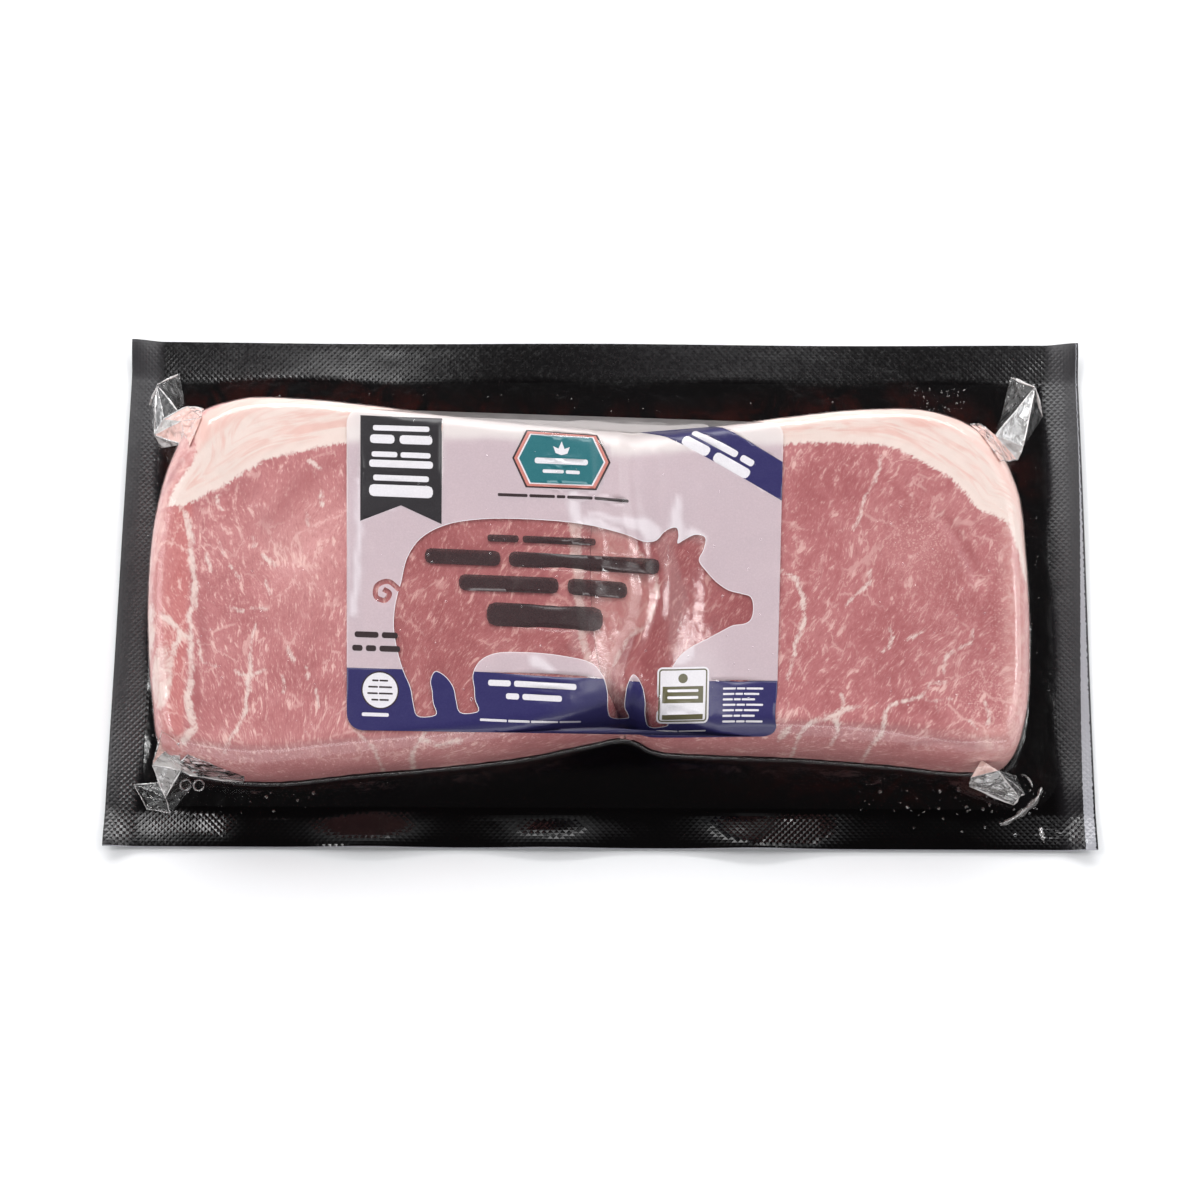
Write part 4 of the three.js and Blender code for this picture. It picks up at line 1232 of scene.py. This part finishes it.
def bowed_facet(a, b, c, bow, seed):
    """A triangle split into small ones, bowed out in its middle and a little uneven."""
    pieces = 12
    out = np.cross(b - a, c - a)
    out /= np.linalg.norm(out)
    index, points, faces = {}, [], []
    for i in range(pieces + 1):
        for j in range(pieces + 1 - i):
            s, t = i / pieces, j / pieces
            belly = 27 * s * t * (1 - s - t)
            wave = math.sin(6.1 * s - 4.7 * t + seed) + 0.7 * math.sin(9.4 * s + 12.2 * t + 2 * seed)
            index[i, j] = len(points)
            points.append(a + (b - a) * s + (c - a) * t + out * belly * (bow + 0.22 * wave))
    for i in range(pieces):
        for j in range(pieces - i):
            faces.append([index[i, j], index[i + 1, j], index[i, j + 1]])
            if i + j < pieces - 1:
                faces.append([index[i + 1, j], index[i + 1, j + 1], index[i, j + 1]])
    return points, faces


def crease_tube(a, b, radius, seed):
    """A thin round fold from a to b, finer at its ends."""
    sides, stations = 5, 9
    heading = (b - a) / np.linalg.norm(b - a)
    side = np.cross(heading, (0.0, 0.0, 1.0))
    side /= np.linalg.norm(side)
    other = np.cross(heading, side)
    points = []
    for k in range(stations):
        share = k / (stations - 1)
        thick = radius * (0.35 + 0.65 * math.sin(math.pi * share)) * (1 + 0.3 * math.sin(7 * share + seed))
        sway = 0.12 * math.sin(math.pi * share) * math.sin(5 * share + seed)
        for m in range(sides):
            turn = m / sides * 2 * math.pi
            out = side * (thick * math.cos(turn) + sway) + other * thick * math.sin(turn)
            points.append(a + (b - a) * share + out)
    faces, loops = tube_faces(stations, sides)
    return points, faces + [loops[0, ::-1].tolist(), loops[-1].tolist()]


class PACK_OT_corner_folds(bpy.types.Operator):
    """Folds of spare film at the corners"""

    bl_idname = "meat_pack.corner_folds"
    bl_label = "Corner folds"

    def execute(self, context):
        material = folded_film_material()
        for seed, (name, (points, facets, creases)) in enumerate(CORNER_FOLDS.items()):
            at = {key: np.array((x, y, z + WEB_TOP)) for key, (x, y, z) in points.items()}
            parts = []
            for number, (corners, bow, haze, silver) in enumerate(facets):
                facet = bowed_facet(*(at[key] for key in corners), bow * 0.35, seed + 1.7 * number)
                parts.append((*facet, haze, silver))
            for number, (ends, radius) in enumerate(creases):
                tube = crease_tube(*(at[key] for key in ends), radius, seed + number)
                # The creases get a whitish haze, partly painted highlight along the folds' edges.
                parts.append((*tube, 0.64 if radius > 0.2 else 0.40, 0.6))
            self.join_parts(name, parts, material)
        self.join_parts("film_ridges", [self.ridge(*each) for each in FILM_RIDGES], material)
        return {"FINISHED"}

    def join_parts(self, name, parts, material):
        piece = mesh_object(name, *joined([part[:2] for part in parts]), [material])
        counts = [len(part[0]) for part in parts]
        for key, column in (("haze", 2), ("silver", 3)):
            keep_values(piece, key, np.repeat([part[column] for part in parts], counts))
        on_pack(piece, "clear_film")

    def ridge(self, line, height, half_width):
        profile = [(-1.0, 0.0), (-0.45, 0.6), (0.0, 1.0), (0.35, 0.7), (1.0, 0.0)]
        curve = centripetal(line, 5 if len(line) > 10 else 8)
        share = np.linspace(0, 1, len(curve))
        taper = np.sin(math.pi * np.clip(share * 0.9 + 0.05, 0, 1)) ** 0.5
        taper = taper * (1 + 0.25 * np.sin(share * 23))
        foot = WEB_TOP + 0.2
        points = [
            (*(place + left * offset * half_width * small), foot + rise * height * small)
            for place, left, small in zip(curve, to_the_left(curve), taper) for offset, rise in profile
        ]
        return points, grid_faces(len(profile), len(curve)), 0.30, 0.45


# Label

def box_outline(s0, t0, s1, t1):
    return [(s0, t0), (s1, t0), (s1, t1), (s0, t1)]


def rounded_outline(s0, t0, s1, t1, radius, count=6):
    left, right, low, high = s0 + radius, s1 - radius, t0 + radius, t1 - radius
    corners = [(right, high), (left, high), (left, low), (right, low)]
    points = []
    for quarter, (cs, ct) in enumerate(corners):
        for k in range(count + 1):
            turn = (quarter + k / count) * math.pi / 2
            points.append((cs + radius * math.cos(turn), ct + radius * math.sin(turn)))
    return points


def word_bars(s0, s1, t, height, words):
    """A row of plain bars with word-like gaps between them, from s0 to s1 about the height t."""
    space = 0.55 * height
    room = (s1 - s0) - space * (len(words) - 1)
    bars, at = [], s0
    for share in words:
        width = room * share / sum(words)
        round_end = min(0.35 * height, 0.45 * width)
        bars.append(rounded_outline(at, t - height / 2, at + width, t + height / 2, round_end, 2))
        at += width + space
    return bars


def turned(points, angle, about):
    c, s = math.cos(angle), math.sin(angle)
    (ax, ay), places = about, []
    for x, y in points:
        places.append((ax + (x - ax) * c - (y - ay) * s, ay + (x - ax) * s + (y - ay) * c))
    return places


# A plain standing pig, facing right, that the label leaves clear: its outline from the tail's root.
PIG_OUTLINE = [
    (-40.4, -4.5), (-38.9, 1.8), (-35.6, 6.9), (-29.5, 10.6), (-20.5, 12.5), (-8.0, 12.9), (5.0, 12.2),
    (15.0, 10.4), (21.0, 8.8), (23.2, 9.2), (25.2, 11.4), (28.0, 12.4), (28.6, 10.6), (28.4, 8.4),
    (30.2, 9.4), (33.0, 10.6), (35.2, 9.8), (34.9, 6.8), (33.8, 4.2), (35.4, 1.6), (38.4, -1.6),
    (41.4, -3.6), (44.4, -4.4), (46.8, -5.2), (47.5, -8.0), (47.0, -10.8), (45.6, -11.9), (42.6, -12.4),
    (39.6, -13.9), (36.0, -15.8), (32.4, -17.6), (29.4, -20.0), (27.4, -23.4), (26.3, -27.4), (25.6, -31.4),
    (25.7, -34.2), (26.9, -36.9), (25.6, -37.5), (22.2, -37.5), (21.2, -34.6), (21.1, -30.8), (20.2, -27.2),
    (18.0, -24.6), (16.6, -26.8), (15.9, -30.4), (15.9, -33.2), (16.9, -35.8), (15.8, -36.4), (12.4, -36.4),
    (11.6, -33.6), (11.5, -29.8), (10.4, -26.0), (7.6, -22.8), (0.0, -21.4), (-9.0, -21.0), (-17.0, -21.6),
    (-20.8, -23.8), (-22.4, -27.2), (-22.0, -30.6), (-21.8, -33.4), (-20.9, -36.0), (-22.0, -36.6),
    (-25.5, -36.6), (-26.4, -33.8), (-27.2, -30.4), (-29.4, -27.6), (-31.8, -26.6), (-33.0, -29.0),
    (-32.6, -31.6), (-32.3, -34.6), (-31.5, -37.2), (-32.6, -37.8), (-36.2, -37.8), (-37.2, -34.8),
    (-37.9, -31.0), (-39.7, -26.8), (-41.3, -21.6), (-42.2, -15.4), (-41.7, -9.5),
]
PIG_TAIL = [
    (-40.8, -6.4), (-43.6, -4.4), (-46.4, -5.6), (-46.6, -8.4), (-44.4, -9.2), (-43.3, -7.4), (-44.8, -6.4),
]

# Where the label stands off the film, so that it looks milky, and where that paleness also paints sheen along
# its creases: lines on the pack, with half widths at the start and the end.
LABEL_AIR_AND_SHEEN = [
    ([(-7.4, 22), (-6.4, 14), (-5.6, 6), (-5.2, -8), (-6, -20)], 1.2, 1.5), ([(-3, 11), (4, 9)], 2.2, 1.6),
    ([(6.2, 12.4), (9.4, 11.6), (12.6, 9.4)], 1.3, 2.2), ([(18.9, 18.4), (18.8, 13), (18.3, 8.4)], 0.5, 2.3),
    ([(22.4, 8.6), (24.4, 7.2)], 1.5, 1.3), ([(-2.8, 13.6), (4.6, 12.6)], 0.5, 0.7),
    ([(15.4, 7), (17.4, 0), (18.6, -9), (20.0, -20.5)], 1.8, 3.0), ([(-16, -24), (-12, -26)], 1.6, 0.8),
    ([(-60.5, 22), (-60, 6), (-60.8, -12)], 0.4, 0.8),
]


# Roughness of each print, and how much it covers of what lies behind it.
PRINTS = {
    "navy": (0.30, 0.985), "charcoal": (0.30, 0.985), "ink": (0.32, 1.0), "white": (0.36, 0.94),
    "teal": (0.32, 1.0), "salmon": (0.32, 1.0), "olive": (0.34, 1.0),
}


def anticlockwise(outline):
    """The outline's points, in the order that leaves its inside on the left."""
    ring = np.array(outline, float)
    x, y = ring.T
    area = (x * np.roll(y, -1) - np.roll(x, -1) * y).sum()
    return (ring if area > 0 else ring[::-1]).tolist()


def band_outline(line, width):
    """Outline of a band of even width along a line."""
    curve = centripetal(line, 6)
    left = to_the_left(curve) * width / 2
    return np.vstack([curve + left, (curve - left)[::-1]]).tolist()


def label_fields():
    """The label's print: (finish, outline) from the bottom layer to the top one, about its middle."""
    half_s = LABEL_LENGTH / 2
    fields = [("ground", rounded_outline(-half_s, LABEL_LOW, half_s, LABEL_HIGH, LABEL_CORNER))]

    def bars(finish, *rows):
        for row in rows:
            fields.extend((finish, bar) for bar in word_bars(*row))

    # Navy foot of the label, and the ribbon across its far corner
    inside = 0.02
    foot = [p for p in fields[0][1] if p[1] < -30]
    foot = [(s * (1 - inside / half_s), t + inside) for s, t in foot]
    fields.append(("navy", [(-half_s + inside, -26.4), *foot, (half_s - inside, -26.2)]))
    end, edge = half_s - inside, LABEL_HIGH - inside
    fields.append(("navy", [(18.5, edge), (37.0, edge), (end, 29.6), (end, 19.6)]))
    slope = math.atan2(19.6 - 40.2, 54.0 - 18.5)
    for row in word_bars(29.5, 47.0, 33.6, 1.8, [7, 2]) + word_bars(28.5, 47.5, 30.6, 2.7, [3, 4]):
        fields.append(("white", turned(row, slope, (38.0, 31.6))))

    # Charcoal ribbon with a swallow tail
    fields.append(("charcoal", [(-50.6, 38.4), (-50.6, 10.8), (-40.5, 15.2), (-30.4, 10.8), (-30.4, 38.4)]))
    bars(
        "white",
        (-47.5, -33.5, 35.2, 1.4, [1]), (-48.2, -32.8, 32.3, 2.3, [3, 4]), (-47.8, -33.2, 28.3, 1.4, [6, 7]),
        (-48.4, -32.6, 25.9, 1.9, [1]), (-47.4, -33.6, 22.2, 1.5, [1]), (-48.4, -32.6, 18.9, 3.1, [1]),
    )

    # Teal badge with pointed ends and a sprig of three leaves
    badge = (-0.8, 28.6)
    layers = (("ink", 12.2, 7.5), ("salmon", 11.7, 7.1), ("white", 10.9, 6.5), ("teal", 10.5, 6.2))
    for finish, reach, rise in layers:
        flat = reach * 0.72
        shape = [(-reach, 0), (-flat, -rise), (flat, -rise), (reach, 0), (flat, rise), (-flat, rise)]
        fields.append((finish, [(badge[0] + s, badge[1] + t) for s, t in shape]))
    for lean, reach in ((-0.75, 3.0), (0.0, 3.6), (0.75, 3.0)):
        leaf = [(0, 0), (0.75, reach * 0.45), (0, reach), (-0.75, reach * 0.45)]
        root = (badge[0], badge[1] + 1.2)
        fields.append(("white", turned([(root[0] + s, root[1] + t) for s, t in leaf], lean, root)))
    bars("white", (-7.4, 5.8, 28.2, 1.5, [1]), (-5.4, 3.8, 25.5, 0.9, [3, 2]))
    bars("ink", (-16.5, 16.0, 19.0, 0.8, [7, 6, 2, 6, 8]))

    # Clear window in the shape of a standing pig, with a white edge, and dark bars on it
    pig = centripetal(PIG_OUTLINE, 4, closed=True)
    white_edge = 0.16
    fields.append(("white", (pig + to_the_left(pig, closed=True) * white_edge).tolist()))
    fields.append(("window", pig.tolist()))
    fields.append(("window", band_outline(PIG_TAIL, 1.3)))
    bars(
        "title",
        (-19.0, 8.0, 7.8, 1.8, [3, 7]), (-34.5, 24.0, 2.6, 3.9, [4, 8]), (-26.0, 16.0, -3.8, 4.1, [5, 3]),
        (-19.0, 10.0, -11.6, 6.0, [1]),
    )
    bars("ink", (-52.0, -41.2, -18.0, 1.5, [3, 2]), (-52.6, -40.6, -21.4, 1.5, [2, 2, 4]))

    # Small marks on the navy foot
    bars(
        "white", (-18.5, 3.6, -29.0, 1.5, [4, 11]), (-14.0, 0.0, -32.2, 1.5, [2, 6]),
        (-20.5, 4.8, -38.3, 0.6, [5, 4, 5, 4]), (-50.2, -43.4, -37.9, 0.9, [1]),
        (24.0, 36.5, -38.9, 0.5, [4, 5]),
    )
    bars("white", *((40.5, 50.5 - (row % 3), -28.2 - row * 1.35, 0.5, [3, 2, 4]) for row in range(7)))
    disc = (-45.6, -31.8)
    fields.append(("ink", circle_outline(disc, 4.75)))
    fields.append(("white", circle_outline(disc, 4.4)))
    for row, reach in enumerate((2.0, 3.0, 3.2, 2.2)):
        bars("ink", (disc[0] - reach, disc[0] + reach, -29.4 - row * 1.6, 0.45, [3, 4]))
    for finish, edge in (("white", 0.0), ("olive", 0.45), ("white", 0.8)):
        sides = (24.0 + edge, -36.6 + edge, 37.0 - edge, -22.6 - edge)
        fields.append((finish, rounded_outline(*sides, 1.3 - edge)))
    for t0, t1 in ((-35.6, -34.4), (-31.6, -27.4)):
        fields.append(("olive", box_outline(25.4, t0, 35.6, t1)))
    bars("white", (26.6, 34.4, -28.5, 0.7, [1]), (26.6, 34.4, -30.2, 0.7, [1]))
    fields.append(("olive", circle_outline((30.5, -25.4), 1.2, 16)))
    return fields


class PACK_OT_label(bpy.types.Operator):
    """Printed label with a clear window, wrapped over the meat"""

    bl_idname = "meat_pack.label"
    bl_label = "Label"

    def execute(self, context):
        sizes, colours = context.scene.meat_pack_sizes, context.scene.meat_pack_colours
        fields = label_fields()
        finishes = {
            "ground": print_material("label_ground", colours.label, 0.34, 0.70, air_cover=0.2),
            "window": label_window_material(),
            "title": print_material("label_title", colours.ink, 0.32, 0.84),
        }
        for finish, (roughness, cover) in PRINTS.items():
            finishes[finish] = print_material("label_" + finish, getattr(colours, finish), roughness, cover)
        order = list(finishes)
        step = sizes.label_step / MM
        end, low, high = LABEL_LENGTH / 2 - step / 2, LABEL_LOW + step / 2, LABEL_HIGH - step / 2
        columns, rows = int(2 * end / step), int((high - low) / step)
        grid = np.meshgrid(np.linspace(-end, end, columns), np.linspace(low, high, rows))
        s, t = (values.ravel() for values in grid)
        inside = distance_to(s, t, np.array(fields[0][1]), closed=True) > 0.2
        points = np.column_stack([s[inside], t[inside]]).tolist()
        regions = []
        for _, outline in fields:
            regions.append(list(range(len(points), len(points) + len(outline))))
            points += anticlockwise(outline)
        cut_up = delaunay_2d_cdt([Vector(p) for p in points], [], regions, 1, 1e-5, True)
        verts, faces, sources = cut_up[0], cut_up[2], cut_up[5]
        flat = np.array([tuple(v) for v in verts])
        slots = [order.index(fields[max(source)][0]) if source else 0 for source in sources]
        placed = self.wrap(flat[:, 0], flat[:, 1], sizes)
        faces = [list(face) for face in faces]
        piece = mesh_object("label_sheet", placed, faces, list(finishes.values()), slots)
        keep_values(piece, "air", self.air(placed[:, 0], placed[:, 1]))
        keep_values(piece, "fat_below", self.fat_below(placed[:, 0], placed[:, 1]))
        on_pack(piece, "label_film", "front_label")
        return {"FINISHED"}

    def air(self, x, y):
        """How much the label stands off the film at each point, from 0 to 1; the paleness that follows is
        partly painted sheen.
        """
        return smooth(inside_bands(x, y, LABEL_AIR_AND_SHEEN), -0.8, 0.7)

    def fat_below(self, x, y):
        """How much pale fat shows through each point of the label, from 0 to 1."""
        x, y = wavered(x, y)
        between_chops = 2
        into_fat = np.where(x < between_chops, left_of(x, y, LEAN_EDGE_LEFT), left_of(x, y, LEAN_EDGE_RIGHT))
        return smooth(into_fat, -1.5, 2.0)

    def wrap(self, s, t, sizes):
        """Where points of the flat label come to lie: they keep their distance from its long middle line."""
        stations = np.linspace(-LABEL_LENGTH / 2, LABEL_LENGTH / 2, 73)
        start = np.array(LABEL_CENTRE) + stations[:, None] * (1.0, LABEL_SLOPE)
        stride = 0.25
        count = int((LABEL_HIGH - LABEL_LOW) / 2 / stride * 1.15)
        reached = np.zeros((2 * count + 1, len(stations)))
        for direction in (-1, 1):
            at = start.copy()
            covered = np.zeros(len(stations))
            height = film_height(at[:, 0], at[:, 1])
            for k in range(1, count + 1):
                at = at + (0.0, direction * stride)
                further = film_height(at[:, 0], at[:, 1])
                covered = covered + np.hypot(stride, further - height)
                height = further
                reached[count + direction * k] = direction * covered
        offsets = (np.arange(2 * count + 1) - count) * stride
        last = len(stations) - 1
        column = np.clip((s + LABEL_LENGTH / 2) / LABEL_LENGTH * last, 0, last - 0.001)
        left = column.astype(int)
        share = column - left
        across = np.empty(len(s))
        for k in range(last):
            here = left == k
            if here.any():
                near, far = (np.interp(t[here], reached[:, c], offsets) for c in (k, k + 1))
                across[here] = near * (1 - share[here]) + far * share[here]
        x = LABEL_CENTRE[0] + s * (0.990 + 0.023 * across / 40) + 0.004 * across
        y = LABEL_CENTRE[1] + s * LABEL_SLOPE + across
        out = normals_of(creased_height, x, y)
        return np.stack([x, y, film_top(x, y)], axis=-1) + out * (sizes.label_gap / MM)


# Water

# Where the drops gather: each patch's middle, its spread both ways, its share of the drops and their size.
DROP_PATCHES = [
    ((85, -54), (20, 3.5), 0.09, 0.42), ((104, -52), (8, 5), 0.06, 0.40), ((88, 52), (7, 3.5), 0.14, 0.28),
    ((-117, 10), (3, 35), 0.08, 0.3), ((110, 10), (2.5, 30), 0.07, 0.25), ((-20, 50), (60, 3), 0.08, 0.22),
    ((-85, -20), (18, 22), 0.10, 0.32), ((85, -10), (18, 26), 0.14, 0.3), ((-8, 0), (48, 34), 0.20, 0.36),
    ((-90, -55), (18, 3), 0.04, 0.4),
]

# Larger drops: the place and radius of each.
LARGE_DROPS = [
    (96.3, -60.5, 0.42), (90.5, -61.6, 0.40), (100.2, -59.6, 0.50), (103.8, -62.4, 0.62),
    (86.0, -58.4, 0.36), (107.5, -57.0, 0.45), (78.5, -60.8, 0.30), (110.5, -61.0, 0.55),
    (-112.9, -38.0, 0.35), (-84.0, 52.0, 0.35), (-103.4, -58.0, 0.4), (60.0, 51.0, 0.3), (112.0, 20.0, 0.3),
    (-47.0, 37.4, 0.45), (-55.0, -9.0, 0.5), (-31.5, -33.6, 0.55), (-33.4, -31.2, 0.35), (42.0, -22.0, 0.3),
    (39.0, -12.0, 0.35), (11.0, -20.0, 0.4),
]


def drop(centre, up, radius):
    """A flattened dome of water on a surface that faces up."""
    rings, spokes, flatness = 3, 8, 0.55
    side = up.orthogonal().normalized()
    other = up.cross(side)
    points = []
    for lift in (ring / rings * math.pi / 2 for ring in range(rings)):
        for turn in (spoke / spokes * 2 * math.pi for spoke in range(spokes)):
            flat = side * math.cos(turn) + other * math.sin(turn)
            points.append(centre + flat * radius * math.cos(lift) + up * radius * flatness * math.sin(lift))
    points.append(centre + up * radius * flatness)
    faces, loops = tube_faces(rings, spokes)
    top = np.full(spokes, rings * spokes)
    return points, faces + np.stack([loops[-1], np.roll(loops[-1], -1), top], axis=1).tolist()


class PACK_OT_drops(bpy.types.Operator):
    """Small drops of water on the film and the label"""

    bl_idname = "meat_pack.drops"
    bl_label = "Drops"

    def execute(self, context):
        sizes = context.scene.meat_pack_sizes
        draw = np.random.default_rng(7)
        places, radii = [], []
        for centre, spread, share, size in DROP_PATCHES:
            count = int(round(sizes.drops * share))
            spots = np.array(centre) + (draw.random((count, 2)) * 2 - 1) * np.array(spread)
            places.append(spots)
            radii.append(size * (0.35 + 0.9 * draw.random(count) ** 2))
        places, radii = np.vstack(places), np.concatenate(radii)
        x, y = places.T
        off_outline = np.abs(distance_to(x, y, RING, closed=True)) > 2.0
        keep = off_outline & (np.abs(x) < PACK_LENGTH / 2 - 7) & (np.abs(y) < PACK_WIDTH / 2 - 6)
        spread_drops = (x[keep], y[keep], radii[keep])
        x, y, radii = (np.concatenate(pair) for pair in zip(spread_drops, np.array(LARGE_DROPS).T))
        on_meat = distance_to(x, y, RING, closed=True) > 0
        z = np.where(on_meat, film_top(x, y), WEB_TOP + 0.3) + 0.1
        out = np.where(on_meat[:, None], normals_of(creased_height, x, y), (0.0, 0.0, 1.0))
        middles = np.column_stack([x, y, z])
        parts = [drop(Vector(at), Vector(up), radius) for at, up, radius in zip(middles, out, radii)]
        piece = mesh_object("water_drops", *joined(parts), [water_material()])
        on_pack(piece, "clear_film")
        return {"FINISHED"}


# Stage

CAMERA_ELEVATION = math.radians(76.0)
CAMERA_DISTANCE = 0.690
CAMERA_LENS = 80.9
CAMERA_SENSOR = 36.0
CAMERA_ROLL = math.radians(0.25)
CAMERA_AIM = Vector((-0.0003, -0.0021, 0.0))

# Soft boxes: where each stands, its width and height in metres, and its power in watts.
SOFT_BOXES = {
    "box_back": ((0.0, 1.25, 0.95), (1.5, 0.7), 18.3),
    "box_front": ((0.0, -1.30, 0.19), (2.0, 0.34), 6.0),
    "box_left": ((-1.15, 0.25, 0.95), (0.6, 1.0), 4.0),
    "box_right": ((1.15, 0.25, 0.95), (0.6, 1.0), 4.0),
    "lamp_left": ((-0.60, 0.10, 1.05), (0.16, 0.16), 1.2),
    "lamp_back": ((-0.78, 1.05, 0.98), (0.22, 0.30), 2.2),
    "lamp_right": ((0.66, 0.20, 1.00), (0.12, 0.20), 1.0),
}


class PACK_OT_stage(bpy.types.Operator):
    """Pale floor, soft light and the camera"""

    bl_idname = "meat_pack.stage"
    bl_label = "Stage"

    def execute(self, context):
        colours = context.scene.meat_pack_colours
        self.floor(colours)
        self.world()
        for name, (place, size, power) in SOFT_BOXES.items():
            lamp = bpy.data.lights.new(name, "AREA")
            lamp.shape = "RECTANGLE"
            lamp.size, lamp.size_y = size
            lamp.energy = power
            holder = bpy.data.objects.new(name, lamp)
            holder.location = place
            holder.rotation_euler = (-Vector(place)).to_track_quat("-Z", "Y").to_euler()
            context.scene.collection.objects.link(holder)
        self.camera(context.scene)
        context.scene.view_settings.view_transform = "Standard"
        return {"FINISHED"}

    def floor(self, colours):
        reach, height = 2500.0, -0.02
        corners = [(s, t, height) for s, t in box_outline(-reach, -reach, reach, reach)]
        mesh_object("pale_floor", corners, [[0, 1, 2, 3]], [floor_material(colours)])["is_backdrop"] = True

    def world(self):
        """Soft light from all round, weaker from straight above and stronger from behind."""
        n = Nodes(bpy.data.worlds.new("soft_room"), "OutputWorld")
        _, y, z = n.split(n.add("TexCoord").outputs["Generated"])
        strength = n.times(n.step(z, 0.70, 0.92, 0.82, 0.025), n.times_plus(y, 0.45, 1.0))
        light = n.add("Background", {"Color": (0.96, 0.98, 1.0), "Strength": strength})
        bpy.context.scene.world = n.surface(light.outputs[0])

    def camera(self, scene):
        data = bpy.data.cameras.new("camera")
        data.lens, data.sensor_width = CAMERA_LENS, CAMERA_SENSOR
        data.clip_start, data.clip_end = 0.01, 20.0
        holder = bpy.data.objects.new("camera", data)
        back = Vector((0.0, -math.cos(CAMERA_ELEVATION), math.sin(CAMERA_ELEVATION)))
        holder.location = CAMERA_AIM + back * CAMERA_DISTANCE
        holder.rotation_mode = "QUATERNION"
        roll = Quaternion((0.0, 0.0, 1.0), CAMERA_ROLL)
        holder.rotation_quaternion = (-back).to_track_quat("-Z", "Y") @ roll
        scene.collection.objects.link(holder)
        scene.camera = holder


# Panel and registration

STEPS = ("backing_film", "chops", "pocket_film", "corner_folds", "label", "drops", "stage")


class PACK_PT_panel(bpy.types.Panel):
    """Sidebar panel with the pack's steps, sizes and colours"""

    bl_idname = "PACK_PT_panel"
    bl_label = "Meat pack"
    bl_space_type = "VIEW_3D"
    bl_region_type = "UI"
    bl_category = "Meat pack"

    def draw(self, context):
        for step in STEPS:
            self.layout.operator("meat_pack." + step)
        for group in (context.scene.meat_pack_sizes, context.scene.meat_pack_colours):
            for key in group.__annotations__:
                self.layout.prop(group, key)


CLASSES = (
    PackSizes, PackColours, PACK_OT_backing_film, PACK_OT_chops, PACK_OT_pocket_film, PACK_OT_corner_folds,
    PACK_OT_label, PACK_OT_drops, PACK_OT_stage, PACK_PT_panel,
)


def register():
    for each in CLASSES:
        bpy.utils.register_class(each)
    bpy.types.Scene.meat_pack_sizes = PointerProperty(type=PackSizes)
    bpy.types.Scene.meat_pack_colours = PointerProperty(type=PackColours)


def unregister():
    del bpy.types.Scene.meat_pack_colours
    del bpy.types.Scene.meat_pack_sizes
    for each in reversed(CLASSES):
        bpy.utils.unregister_class(each)


def corners():
    return [list(corner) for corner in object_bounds()]


def main():
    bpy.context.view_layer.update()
    register()
    for step in STEPS:
        getattr(bpy.ops.meat_pack, step)()


if __name__ == "__main__":
    main()
